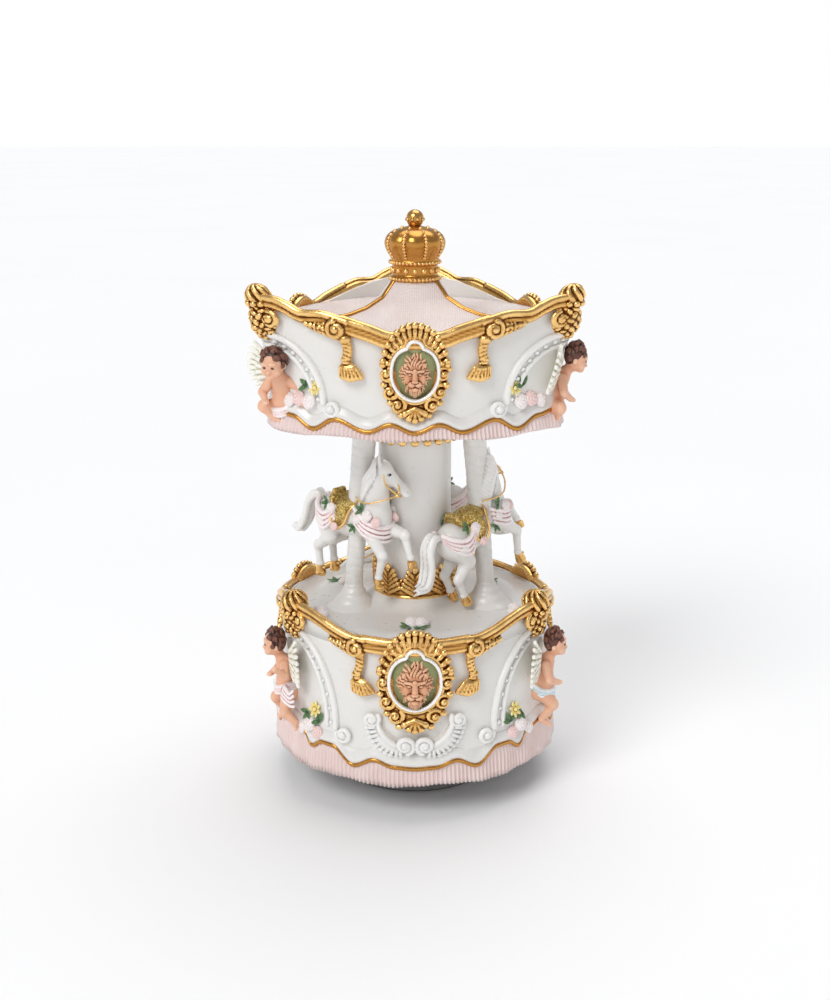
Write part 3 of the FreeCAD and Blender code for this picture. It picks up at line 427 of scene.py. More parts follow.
SASH_PINK = painted(
    "sash_pink", ((0.55, 0.30, 0.30), (0.88, 0.68, 0.67), (0.96, 0.88, 0.87)),
    rough=(0.25, 0.4), Coat_Weight=0.3,
)
SASH_BLUE = painted(
    "sash_blue", ((0.28, 0.42, 0.50), (0.58, 0.74, 0.80), (0.86, 0.92, 0.94)),
    rough=(0.25, 0.4), Coat_Weight=0.3,
)
WING = painted("wing", ((0.50, 0.48, 0.36), (0.86, 0.84, 0.70), (0.95, 0.94, 0.86)), rough=(0.3, 0.45))
BLACK = painted(
    "painted_eye", ((0.01, 0.01, 0.01), (0.02, 0.015, 0.012), (0.03, 0.02, 0.02)),
    rough=(0.1, 0.2), Coat_Weight=0.6,
)
LIPS = painted("painted_lips", ((0.45, 0.10, 0.08), (0.62, 0.16, 0.12), (0.7, 0.25, 0.2)), rough=(0.35, 0.45))


def glitter():
    """Gold paint with glitter, on the saddles."""
    finish = Finish("gold_glitter")
    cells = finish.node("ShaderNodeTexVoronoi", Vector=finish.place, Scale=3200.0)
    fleck = finish.spread(cells.outputs["Color"], 0.0, 1.0, 0.2, 0.9)
    stops = [(0.0, (0.30, 0.17, 0.03)), (0.55, (0.62, 0.42, 0.10)), (1.0, (0.98, 0.85, 0.42))]
    finish.colour(finish.ramp(fleck, stops))
    finish.bump(cells.outputs["Distance"], 0.6, 0.0003)
    finish.rough(0.2, 0.4, 1500.0)
    finish.set(Metallic=0.8)
    return finish.material


GLITTER = glitter()


def pearl_weave():
    """The roof's pale pink, with the fine crossed texture pressed into it."""
    finish = Finish("roof_pink")
    colour = finish.ramp(finish.noise(60.0, 5.0), [(0.3, (0.80, 0.67, 0.63)), (0.7, (0.90, 0.81, 0.78))])
    finish.colour(colour)
    across = finish.node("ShaderNodeTexWave", Vector=finish.place, Scale=420.0, Distortion=1.5)
    along = finish.node("ShaderNodeTexWave", Vector=finish.place, Scale=420.0, Distortion=1.5)
    along.bands_direction = "Y"
    both = finish.node("ShaderNodeMath")
    finish.tree.links.new(across.outputs["Fac"], both.inputs[0])
    finish.tree.links.new(along.outputs["Fac"], both.inputs[1])
    finish.bump(both.outputs[0], 0.35, 0.0003)
    finish.rough(0.3, 0.45)
    finish.set(Coat_Weight=0.3, Coat_Roughness=0.25)
    return finish.material


ROOF_PINK = pearl_weave()


def machined(name, colour, rough, metallic, rings=0.0):
    """A plain workshop finish for the foot and the parts inside."""
    finish = Finish(name)
    dark = tuple(0.72 * c for c in colour)
    if rings:
        wave = finish.node("ShaderNodeTexWave", Vector=finish.place, Scale=rings, Distortion=0.6)
        wave.wave_type = "RINGS"
        wave.rings_direction = "Z"
        pattern = wave.outputs["Fac"]
    else:
        pattern = finish.noise(500.0, 5.0)
    finish.colour(finish.ramp(pattern, [(0.2, dark), (0.8, colour)]))
    finish.bump(pattern, 0.12, 0.0002)
    finish.rough(*rough)
    finish.set(Metallic=metallic)
    return finish.material


FINISHES = {
    "pearl_white": PEARL,
    "antique_gold": GOLD,
    "pearl_pink": PINK,
    "skin": SKIN,
    "terracotta": TERRACOTTA,
    "rose_petal": PETAL,
    "foot_steel": machined("foot_steel", (0.46, 0.46, 0.47), (0.28, 0.42), 1.0, rings=260.0),
    "felt": machined("felt", (0.05, 0.045, 0.045), (0.9, 1.0), 0.0),
    "movement_steel": machined("movement_steel", (0.55, 0.55, 0.56), (0.22, 0.35), 1.0, rings=500.0),
    "movement_brass": machined("movement_brass", (0.72, 0.52, 0.22), (0.22, 0.35), 1.0),
    "movement_zinc": machined("movement_zinc", (0.50, 0.50, 0.49), (0.45, 0.6), 0.9),
    "spring_steel": machined("spring_steel", (0.16, 0.19, 0.27), (0.2, 0.3), 1.0),
    "cover_board": machined("cover_board", (0.11, 0.10, 0.09), (0.75, 0.9), 0.0),
    "nylon": machined("nylon", (0.78, 0.77, 0.72), (0.4, 0.55), 0.0),
}
SLOTS = {entry["node"]: entry["material_slot"] for entry in frame["record"]["subparts"]}
for node, obj in frame["nodes"].items():
    finish = FINISHES[SLOTS[node]]
    if not obj.material_slots:
        obj.data.materials.append(finish)
    for slot in obj.material_slots:
        slot.material = finish


# Gilt ornaments


def spiral(x, z, size, turns, start, side, depth=-1.2):
    """Points of a volute that winds inward, in the relief's own plane."""
    points = []
    steps = int(turns * 14)
    for i in range(steps + 1):
        share = i / steps
        angle = math.radians(start) + side * share * turns * 2 * math.pi
        radius = size * (1 - 0.85 * share)
        points.append((x + radius * math.cos(angle), depth - 0.8 * share, z + radius * math.sin(angle)))
    return points


def tassel(clay, knot, neck, hem):
    """A twisted cord from a knot to a neck, and the fluted tassel below it; points are (x, z)."""
    top, low, foot = (np.array([x, -1.8, z]) for x, z in (knot, neck, hem))
    shares = np.linspace(0.0, 1.0, 35)
    for strand in (0.0, math.pi):
        line = []
        for share in shares:
            angle = strand + 2.6 * 2 * math.pi * share
            across = 0.75 * math.cos(angle) - 0.7 * math.sin(math.pi * share)
            line.append(top + (low - top) * share + (across, -0.5 * math.sin(angle), 0.0))
        clay.path(line, 0.82, 0.1)
    clay.egg(top, (2.0, 1.6, 1.6), 0.3)
    for share, size in ((0.0, 1.75), (0.16, 1.5)):
        clay.egg(low + (foot - low) * share, (size, 1.4, 0.85), 0.15)
    for share in np.linspace(-1.0, 1.0, 7):
        end = foot + (3.2 * share, -0.9 * (1 - share * share), 0.7 * abs(share))
        line = [low + (0.4 * share, -0.2, -1.0), (low + end) / 2 + (0.7 * share, -0.4, 0.2), end]
        clay.path(line, (0.6, 0.8, 0.95), 0.08)


def cartouche(clay, z, half_width, half_height, bed):
    """A medallion's frame: a beaded fan at the top, curls at the sides and leaves at the foot."""
    def spot(degrees, share, depth):
        turn = math.radians(degrees)
        across, up = share * half_width * math.sin(turn), share * half_height * math.cos(turn)
        return np.array([across, depth, z + up])

    for degrees in range(0, 360, 6):
        clay.path([spot(degrees, 0.72, -0.6), spot(degrees, 0.93, -0.4)], (1.5, 1.3), 0.5)
    for degrees in np.linspace(-76, 76, 15):
        rib = [spot(degrees, 0.70, -2.0), spot(degrees, 0.84, -2.6), spot(degrees, 0.95, -2.0)]
        clay.path(rib, (0.45, 0.8, 1.0), 0.12)
        clay.egg(spot(degrees, 1.0, -2.2), (1.25, 1.15, 1.25), 0.12)
    for side in (-1, 1):
        for degrees, size in ((92.0, 2.5), (118.0, 2.7), (143.0, 2.5)):
            middle = spot(side * degrees, 0.87, -2.0)
            curl = spiral(middle[0], middle[2], size, 1.2, 40.0, side, -1.9)
            clay.path(curl, np.linspace(1.0, 0.6, len(curl)), 0.15)
            clay.egg(middle + (0.0, -0.8, 0.0), 1.0, 0.2)
        for degrees in (80.0, 105.0, 130.0, 155.0):
            clay.egg(spot(side * degrees, 0.99, -2.1), (1.3, 1.2, 1.1), 0.15)
    root = spot(180.0, 0.76, -2.2)
    for fan in range(5):
        turn = math.radians(180.0 + (fan - 2) * 32.0)
        tip = root + (3.6 * math.sin(turn), -0.2, 3.6 * math.cos(turn))
        clay.path([root, tip], (0.8, 1.15), 0.1)
        clay.egg(tip, 1.2, 0.15)
    ring = lobed_outline(-2.2, z + bed[3], bed[0] + 1.0, bed[1] + 1.0, bed[2] + 0.8)
    clay.path(ring + ring[:1], 0.5, 0.2)
    for middle, width, height in bed_parts(z, bed):
        clay.egg((middle[0], -2.6, middle[1]), (width, 2.2, height), 0.2, carve=True)


def bed_parts(z, bed):
    """The ovals that make up a medallion's ground, as (middle, half width, half height)."""
    half_width, half_height, lobe, rise = bed
    middle = z + rise
    shoulder = (0.42 * half_width, middle + 0.36 * half_height)
    return (
        ((0.0, middle), half_width, half_height),
        (shoulder, 0.6 * half_width, 0.6 * half_height),
        ((-shoulder[0], shoulder[1]), 0.6 * half_width, 0.6 * half_height),
        ((0.0, middle + half_height), lobe, 0.8 * lobe),
    )


def lobed_outline(depth, z, half_width, half_height, lobe):
    """An oval with broad shoulders and a low lobe on its top."""
    points = []
    for t in full_turn(132):
        across, up = math.sin(t), math.cos(t)
        power = 2.5 if up > 0 else 1.9
        reach = (abs(across / half_width)**power + abs(up / half_height)**power) ** (-1 / power)
        inside = lobe**2 - (half_height * across) ** 2
        if up > 0 and inside > 0:
            reach = max(reach, half_height * up + 0.8 * math.sqrt(inside))
        points.append((reach * across, depth, z + reach * up))
    return points


def plaque(name, z, bed, bend):
    """The medallion's silvery rim with its lobed top, and the olive ground inside it."""
    half_width, half_height, lobe, rise = bed
    low = (-half_width - 3, -5, z + rise - half_height - 3)
    high = (half_width + 3, 1, z + rise + half_height + lobe + 3)
    rim = Clay(low, high, 0.2)
    line = lobed_outline(-2.7, z + rise, half_width, half_height, lobe)
    rim.path(line + line[:1], 0.62, 0.1)
    ground = Clay(low, high, 0.22)
    for middle, width, height in bed_parts(z, bed):
        ground.egg((middle[0], 0.2, middle[1]), (width + 1.2, 2.3, height + 1.0), 0.2)
    thrice(f"{name}_plaque_rim", rim, SILVER, bend)
    thrice(f"{name}_plaque_ground", ground, OLIVE, bend)


def medallion(tier, clay, z, half_width, half_height, bed, lay):
    """The frame, rim and ground that hold a lion mask."""
    cartouche(clay, z, half_width, half_height, bed)
    thrice(f"{tier}_cartouche", clay, GOLD, lay, f"{tier}_cartouches")
    plaque(tier, z, bed, lay)


def acanthus(clay, x, z, size):
    """The scroll that ends a moulding, with a clump of curled leaves beside it."""
    clay.path(spiral(x, z, size, 1.5, 70.0, -1, -2.3), np.linspace(1.25, 0.7, 22), 0.15)
    clay.egg((x, -3.0, z), 1.2, 0.2)
    rng = random.Random(int(10 * z))
    for row in range(3):
        for share in np.linspace(0.0, 1.0, 6):
            depth = -2.0 + 0.5 * share - 0.4 * (row == 1)
            spot = (x + 2.6 + 7.2 * share, depth, z - 1.6 + 1.5 * row + 2.6 * share - 1.2 * row * share)
            clay.egg(spot, (1.15, 1.0, 0.75 + 0.3 * rng.random()), 0.15, spin("Y", rng.uniform(-60.0, 60.0)))


def border(low, high, line, double_until, scroll, cord):
    """Half of a gilt moulding with its scroll and tassel, mirrored to the other half."""
    clay = Clay((-low[0], low[1], low[2]), (low[0], 2.4, high), 0.3)
    centre = smooth_line([(x, -1.3, z) for x, z in line], 7)
    inner = [p for p in centre if p[0] <= double_until]
    outer = [p for p in centre if p[0] >= double_until - 2.0]
    clay.path([p + (0, 0.2, 1.15) for p in inner], 1.5, 0.15)
    clay.path([p + (0, -0.1, -1.9) for p in inner], 1.15, 0.15)
    clay.path([p + (0, 0.7, -0.6) for p in centre], 1.9, 0.3)
    clay.path([p + (0, -0.2, 1.0) for p in outer], 1.35, 0.15)
    clay.path([p + (0, -0.2, -1.0) for p in outer], 1.05, 0.15)
    acanthus(clay, *scroll)
    tassel(clay, *cord)
    clay.mirror()
    return clay


def canopy_border():
    line = [
        (0, 163.2), (8.3, 163.2), (14.8, 165.3), (21.4, 167.2), (24.9, 168.2), (30.5, 169.6), (37.1, 169.6),
        (41.9, 171.8), (46.0, 173.2), (53.5, 173.6),
    ]
    cord = ((22.8, 163.0), (22.6, 156.8), (21.0, 150.6))
    return border((52.5, -7, 145), 178, line, 24.0, (25.2, 166.0, 2.7), cord)


def base_border():
    line = [
        (0, 62.0), (8.4, 62.0), (15.5, 62.4), (21.8, 62.8), (27.6, 64.4), (34.3, 66.8), (41.0, 68.2),
        (52.0, 68.6),
    ]
    cord = ((18.6, 58.8), (19.4, 51.8), (17.0, 45.6))
    return border((50.5, -7, 40), 74, line, 18.5, (19.8, 60.6, 2.5), cord)


def knobbly(clay, centre, radii, count, seed):
    """Small curls and beads strewn over an egg-shaped core."""
    rng = random.Random(seed)
    centre, radii = np.array(centre), np.array(radii)
    clay.egg(centre, radii, 0.4)
    for i in range(count):
        up = 1 - 2 * (i + 0.5) / count
        angle = i * 2.39996
        level = math.sqrt(1 - up * up)
        out = np.array([level * math.cos(angle), level * math.sin(angle), up])
        if out[1] > 0.35:
            continue
        size = rng.uniform(0.7, 1.25)
        clay.egg(centre + out * radii, (size * 1.25, size, size * 0.8), 0.12, spin("Y", rng.uniform(0, 180)))


def corner_shell(clay, z, ball_rise, ball_radius):
    """A clump of curled leaves on a corner, holding a ball wrapped in twisted leaves."""
    knobbly(clay, (0, -0.6, z), (5.0, 3.4, 5.6), 84, int(z))
    for side in (-1, 1):
        clay.path(spiral(side * 5.2, z + 0.6, 2.6, 1.4, 100.0, -side, -2.2), 0.8, 0.15)
        clay.egg((side * 5.2, -2.9, z + 0.6), 1.0, 0.2)
    middle = np.array([0, -1.0, z + ball_rise])
    clay.egg(middle, ball_radius * 0.9, 0.3)
    for start in full_turn(9):
        leaf = []
        for share in np.linspace(0.0, 1.0, 8):
            turn, tilt = start + 1.3 * share, math.radians(6 + 128 * share)
            out = np.array([math.sin(tilt) * math.cos(turn), math.sin(tilt) * math.sin(turn), math.cos(tilt)])
            leaf.append(middle + out * ball_radius * 0.9)
        clay.path(leaf, np.linspace(0.45, 0.95, 8), 0.1)
    for turn in full_turn(12):
        out = np.array([0.95 * math.cos(turn), 0.95 * math.sin(turn), -0.62])
        clay.egg(middle + out * ball_radius, 0.95, 0.12)
    return clay


def wavy_line(knots):
    """A height for each angle from the nearest face, in degrees, repeated on all three faces."""
    angles, heights = zip(*knots)

    def height(angle):
        face = abs((angle + 60.0) % 120.0 - 60.0)
        spot = min(int(np.searchsorted(angles, face, side="right")), len(angles) - 1)
        share = (face - angles[spot - 1]) / (angles[spot] - angles[spot - 1])
        share = (1 - math.cos(math.pi * share)) / 2
        return heights[spot - 1] + share * (heights[spot] - heights[spot - 1])

    return height


def cord_and_fringe(tier, wall_at, foot_at, height_at, bottom, flare, floor):
    """The gold line, the pleated fringe below it and the wall's white swell above it, all round."""
    pleats, steps = 216, 8
    count = pleats * steps
    heights = np.array([height_at(360.0 * i / count) for i in range(count)])
    for _ in range(10):
        heights = (np.roll(heights, 1) + np.roll(heights, -1) + 2 * heights) / 4
    line, fringe, swell = [], [], []
    up = np.array([0.0, 0.0, 1.0])
    for i, (angle, height) in enumerate(zip(full_turn(count), heights)):
        out, radius = around(1.0, angle), foot_at(angle)
        if i % 2 == 0:
            middle = around(radius + 1.2, angle, height)
            line.append([middle + 0.85 * (math.cos(t) * out + math.sin(t) * up) for t in full_turn(12)])
            high, low = max(height + 4.5, floor), height + 0.3
            wall = wall_at(angle, high)
            profile = (
                (radius - 1.5, low), (radius + 1.6, low + 0.4), (radius + 2.1, low + 1.3),
                (radius + 1.7, low + 2.2), (max(wall + 0.1, radius + 0.7), low + 3.4),
                (wall + 0.03, high), (wall - 1.5, high),
            )
            swell.append([around(reach, angle, z) for reach, z in profile])
        fold = 0.42 * math.cos(2 * math.pi * i / steps) + 0.25 * math.sin(angle * 31)
        section = [around(radius - 1.0, angle, height), around(radius - 1.0, angle, bottom + 0.3)]
        for share in (1.0, 0.8, 0.6, 0.35, 0.15, 0.0):
            z = height + (bottom + 0.5 * math.sin(angle * 9) - height) * share
            reach = radius + 0.7 + flare * share**0.7 + fold * min(1.0, 3 * share)
            section.append(around(reach, angle, z))
        fringe.append(section)
    turned_ring(f"{tier}_gold_line", line, GOLD)
    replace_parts(turned_ring(f"{tier}_fringe_pleats", fringe, PINK), f"{tier}_fringe")
    turned_ring(f"{tier}_swell", swell, PEARL)


def make_gilt():
    thrice("canopy_border", canopy_border(), GOLD, on_canopy, "canopy_rim", "canopy_tassels")
    clay = Clay((-14, -6, 135), (14, 2, 172), 0.25)
    medallion("canopy", clay, 153.0, 10.6, 14.9, (7.6, 8.3, 2.6, -0.4), on_canopy)
    finial = corner_shell(Clay((-13, -8, 156), (13, 6, 181), 0.25), 167.0, 7.8, 3.9)
    thrice("canopy_finial", finial, GOLD, at_corner(on_canopy), "corner_finials")
    thrice("base_border", base_border(), GOLD, on_base, "base_rim", "base_tassels")
    clay = Clay((-16, -6, 31), (16, 2, 70), 0.25)
    medallion("base", clay, 50.4, 11.6, 16.9, (8.2, 9.0, 2.8, -0.4), on_base)
    shell = corner_shell(Clay((-13, -7, 53), (13, 6, 76), 0.25), 63.4, 6.0, 4.6)
    thrice("base_shell_scroll", shell, GOLD, at_corner(on_base), "base_corner_shells")
    knots = [
        (0, 133.6), (9.5, 136.2), (18.5, 133.6), (31.5, 137.0), (41.0, 133.2), (50.0, 136.6), (60.0, 138.0),
    ]
    foot_at = lambda angle: float(canopy_radius(angle, CANOPY_START))
    cord_and_fringe("canopy", canopy_radius, foot_at, wavy_line(knots), 131.2, 1.4, 136.0)
    knots = [
        (0, 19.4), (8, 19.8), (16, 21.8), (24.5, 18.8), (34, 24.2), (39, 24.2), (45, 21.4), (49, 25.4),
        (60, 27.0),
    ]
    cord_and_fringe("base", base_radius, lambda angle: 48.8, wavy_line(knots), 13.2, 1.0, 25.0)


# White relief


def arch(clay, half_width, low, high):
    """Half of a pearled arch and its scroll, to be mirrored."""
    line, inner = [], []
    for t in np.linspace(0, math.pi / 2, 15):
        line.append((half_width * math.sin(t), -0.4, low + (high - low) * math.cos(t)))
        inner.append(((half_width - 3.6) * math.sin(t), -0.3, low + (high - low - 3.6) * math.cos(t)))
    clay.path(line, 1.15, 0.3)
    clay.path(inner, 0.8, 0.3)
    for t in np.linspace(0.06, math.pi / 2 - 0.05, 9):
        spot = ((half_width - 1.8) * math.sin(t), -0.7, low + (high - low - 1.8) * math.cos(t))
        clay.egg(spot, 0.72, 0.1)
    clay.path(spiral(half_width + 3.4, low - 1.6, 2.7, 1.5, 180.0, 1, -1.0), 0.9, 0.15)
    clay.egg((half_width + 3.4, -1.9, low - 1.6), 1.2, 0.2)


def c_scroll(clay):
    """Half of the pair of leafy scrolls under the lower medallion, to be mirrored."""
    knots = [(13.0, 0.4, 36.4), (12.2, 0.4, 33.0), (10.0, 0.4, 29.6), (6.8, 0.4, 27.4), (3.4, 0.4, 27.0)]
    stem = smooth_line(knots, 6)
    shares = np.linspace(0, 1, len(stem))
    clay.path(stem, np.interp(shares, [0, 0.5, 1], [1.6, 3.0, 2.4]), 0.3)
    clay.path([p + (-0.7, -1.9, 0.9) for p in stem], np.interp(shares, [0, 0.5, 1], [0.7, 1.1, 0.9]), 0.3)
    clay.path(spiral(14.0, 36.8, 2.5, 1.4, 150.0, 1, -1.3), 0.9, 0.15)
    clay.egg((14.0, -2.0, 36.8), 1.1, 0.2)
    clay.path(spiral(3.2, 28.4, 2.9, 1.5, 250.0, -1, -1.8), 0.95, 0.15)
    clay.egg((3.2, -2.6, 28.4), 1.1, 0.2)
    for before, spot, after in zip(stem[1::2], stem[2::2], stem[3::2]):
        out = np.cross(after - before, (0.0, 1.0, 0.0))
        out = out / np.linalg.norm(out) * (1 if out[2] < 0 else -1)
        rib = [spot + out * 0.4 + (0, -2.4, 0), spot + out * 2.0 + (0, -2.0, 0), spot + out * 3.3]
        clay.path(rib, (0.35, 0.6, 0.5), 0.25)
        clay.egg(spot + out * 3.3 + (0, -0.9, 0), (0.95, 0.9, 0.95), 0.2)


def make_relief():
    clay = Clay((-30, -4, 134), (30, 2, 168), 0.3)
    arch(clay, 20.5, 142.0, 162.5)
    clay.mirror()
    thrice("canopy_arch", clay, PEARL, at_corner(on_canopy))
    clay = Clay((-32, -4, 20), (32, 2, 64), 0.3)
    arch(clay, 23.0, 31.0, 60.0)
    clay.mirror()
    thrice("base_arch", clay, PEARL, at_corner(on_base))
    clay = Clay((-19.2, -6, 22), (19.2, 2, 42), 0.25)
    c_scroll(clay)
    clay.mirror()
    thrice("base_scroll", clay, PEARL, on_base)


# Lion masks


def lion_mask():
    clay = Clay((-9, -9, -10), (9, 1, 10), 0.17)
    rng = random.Random(5)
    layers = ((2.6, 1.0, -1.3, 32), (2.6, 0.86, -2.3, 28), (2.4, 0.70, -3.2, 22))
    for layer, (start, reach, depth, count) in enumerate(layers):
        for i in range(count):
            angle = 2 * math.pi * (i + 0.5 * layer) / count
            sway = rng.uniform(-0.16, 0.16)
            length = reach * rng.uniform(0.88, 1.05) * (6.6 if abs(math.sin(angle)) > 0.6 else 7.4)
            line = []
            for share in (0.0, 0.3, 0.6, 0.85, 1.0):
                turn = angle + sway * math.sin(math.pi * share * 1.7)
                far = start + share * (length - start)
                line.append((far * math.sin(turn), depth + 1.1 * share**2, 0.9 + 1.06 * far * math.cos(turn)))
            clay.path(line, [0.5, 0.56, 0.52, 0.36, 0.12], 0.04)
    clay.egg((0, -2.0, 0.4), (3.7, 2.6, 4.5), 0.3)
    for side in (-1, 1):
        clay.limb((0.7 * side, -4.5, 2.0), (2.9 * side, -3.9, 2.3), 0.62, 0.5, 0.25)
        clay.egg((1.65 * side, -4.6, 1.15), 0.72, 0.1, carve=True)
        clay.egg((1.65 * side, -4.2, 1.15), (0.62, 0.5, 0.4), 0.05)
        clay.egg((2.5 * side, -3.6, -0.6), (1.4, 1.2, 1.7), 0.5)
        clay.egg((1.05 * side, -5.0, -2.3), (1.35, 1.35, 1.05), 0.2)
        clay.egg((3.3 * side, -2.6, 4.0), (0.9, 0.7, 1.0), 0.2)
    clay.limb((0, -4.5, 2.4), (0, -5.6, -0.6), 0.75, 0.95, 0.4)
    clay.egg((0, -6.1, -1.2), (1.15, 0.7, 0.65), 0.2)
    clay.limb((0, -6.7, -1.6), (0, -6.3, -3.0), 0.16, 0.16, 0.05, carve=True)
    mouth = [(-2.1, -5.2, -3.6), (-1.0, -6.2, -3.1), (0, -6.3, -3.0), (1.0, -6.2, -3.1), (2.1, -5.2, -3.6)]
    clay.path(mouth, 0.2, 0.05, carve=True)
    clay.egg((0, -4.7, -4.2), (1.1, 1.1, 0.9), 0.25)
    for i in range(7):
        x = (i - 3) * 0.55
        clay.limb((x, -4.4, -4.4), (x * 1.1, -3.0, -7.6 + abs(x) * 0.7), 0.42, 0.18, 0.06)
    return clay


def make_lions():
    clay = lion_mask()
    for tier, z, scale, lay in (("canopy", 152.0, 0.86, on_canopy), ("base", 49.2, 0.98, on_base)):
        bend = lambda points: lay(points * scale + (0.0, -1.2, z))
        thrice(f"{tier}_lion", clay, TERRACOTTA, bend, f"{tier}_lions", blur=2)


# Horses


def horse_body():
    clay = Clay((-34, -10, -26), (27, 10, 28), 0.33)
    clay.egg((-1.0, 0, -0.6), (12.5, 5.7, 6.6), 1.0, spin("Y", -9.0))
    clay.egg((9.0, 0, 1.4), (5.9, 5.3, 7.0), 2.5)
    clay.egg((-10.6, 0, -1.2), (6.4, 6.0, 6.9), 2.5)
    clay.limb((8.6, 0, 4.0), (13.4, 0, 16.4), 5.2, 3.3, 2.5)
    clay.limb((13.4, 0, 16.4), (14.6, 0, 19.6), 3.2, 2.9, 1.5)
    clay.limb((14.6, 0, 20.0), (20.6, 0, 14.6), 2.7, 1.75, 1.2)
    clay.egg((16.4, 0, 17.4), (2.9, 2.1, 2.5), 1.0, spin("Y", 40.0))
    clay.egg((21.6, 0, 13.6), (2.2, 1.75, 1.75), 0.9, spin("Y", 35.0))
    clay.limb((14.6, 0, 22.2), (18.8, 0, 18.0), 1.1, 0.8, 0.9)
    for side in (-1, 1):
        clay.limb((13.6, 1.4 * side, 21.8), (12.9, 1.9 * side, 25.8), 1.05, 0.25, 0.4)
        clay.egg((14.1, 2.0 * side, 24.0), (0.5, 0.5, 1.3), 0.2, carve=True)
        clay.egg((16.9, 2.35 * side, 19.2), (0.85, 0.7, 0.7), 0.3, carve=True)
        clay.egg((16.9, 1.95 * side, 19.2), (0.75, 0.6, 0.6), 0.1)
        clay.egg((23.2, 1.25 * side, 13.7), (0.5, 0.45, 0.6), 0.2, carve=True)
        clay.limb((22.6, 1.7 * side, 12.2), (21.0, 2.1 * side, 12.4), 0.22, 0.16, 0.1, carve=True)
        clay.limb((-11.0, 3.0 * side, -2.6), (-9.2, 3.6 * side, -8.6), 4.0, 2.9, 1.8)
        clay.limb((-9.2, 3.6 * side, -8.6), (-14.6, 3.5 * side, -13.4), 2.7, 1.7, 0.9)
        clay.egg((-15.0, 3.5 * side, -13.4), (1.75, 1.55, 2.0), 0.6)
        clay.limb((-14.8, 3.5 * side, -14.0), (-13.6, 3.5 * side, -19.8), 1.45, 1.2, 0.5)
        clay.egg((-13.6, 3.5 * side, -20.0), (1.6, 1.45, 1.3), 0.5)
    clay.limb((10.0, 3.0, -1.0), (19.8, 3.4, -1.6), 2.9, 1.9, 1.2)
    clay.egg((20.2, 3.4, -1.8), 2.0, 0.5)
    clay.limb((20.2, 3.4, -2.4), (23.0, 3.4, -8.8), 1.6, 1.2, 0.5)
    clay.egg((23.1, 3.4, -9.1), (1.5, 1.4, 1.3), 0.4)
    clay.limb((9.6, -3.0, -2.0), (15.8, -3.3, -8.6), 2.9, 1.8, 1.2)
    clay.egg((16.1, -3.3, -8.9), 1.9, 0.5)
    clay.limb((16.1, -3.3, -9.4), (14.9, -3.3, -16.8), 1.55, 1.15, 0.5)
    clay.egg((14.9, -3.3, -17.2), (1.5, 1.4, 1.3), 0.4)
    for i in range(13):
        share = i / 12
        root = np.array([12.9 - 7.0 * share, 0.0, 23.2 - 14.2 * share])
        for side in (-1, 1):
            middle = root + (-1.0, 3.6 * side * (0.75 + 0.35 * share), -4.2)
            tip = root + (-2.4, 3.9 * side * (0.8 + 0.4 * share), -6.6)
            lock = smooth_line([root, root + (-1.4, 1.9 * side, -0.8), middle, tip], 3)
            clay.path(lock, np.linspace(0.95, 0.35, len(lock)), 0.15)
    clay.path(smooth_line([(14.6, 0, 23.4), (16.4, 0.4, 22.0), (17.6, 0.3, 20.2)], 3), 0.75, 0.2)
    rng = random.Random(11)
    for i in range(9):
        dy, dz = rng.uniform(-1.3, 1.3), rng.uniform(-1.0, 1.0)
        tail = smooth_line([
            (-15.6, 0.3 * dy, 2.6), (-19.2, dy, 4.2 + dz), (-22.6, 1.4 * dy, 0.8 + dz),
            (-24.0, 1.8 * dy, -5.6 + dz), (-27.0, 1.6 * dy, -10.6 + dz), (-31.0 + dz, dy, -10.6 + 1.4 * dz),
        ], 4)
        shares = np.linspace(0, 1, len(tail))
        clay.path(tail, np.interp(shares, [0, 0.35, 0.8, 1.0], [0.8, 1.2, 1.0, 0.3]), 0.15)
    return clay


HOOVES = (
    ((23.2, 3.4, -9.4), (24.6, 3.4, -12.0)),
    ((14.9, -3.3, -17.6), (15.6, -3.3, -20.6)),
    ((-13.6, 3.5, -20.2), (-13.0, 3.5, -23.2)),
    ((-13.6, -3.5, -20.2), (-13.0, -3.5, -23.2)),
)


def horse_hooves():
    clay = Clay((-17, -7, -26), (25, 7, -10), 0.3)
    for ankle, toe in HOOVES:
        clay.limb(ankle, toe, 1.35, 1.95, 0.3)
        clay.egg((toe[0], toe[1], toe[2] - 2.6), (4.0, 4.0, 1.6), 0.15, carve=True)
        clay.path([(toe[0] - 1.9, toe[1], toe[2] + 2.0), (toe[0] + 1.6, toe[1], toe[2] + 2.0)], 0.5, 0.2)
    return clay


def horse_saddle():
    clay = Clay((-12, -8, -4), (8, 8, 12), 0.25)
    clay.egg((-2.6, 0, 4.6), (6.6, 5.9, 3.2), 0.6, spin("Y", -9.0))
    clay.limb((-8.4, -3.6, 6.0), (-8.4, 3.6, 6.0), 1.3, 1.3, 0.8)
    clay.limb((-8.9, -2.0, 8.0), (-8.9, 2.0, 8.0), 1.1, 1.1, 0.8)
    for side in (-1, 1):
        clay.egg((-2.6, 5.6 * side, 1.4), (3.3, 1.1, 4.2), 0.6)
    return clay


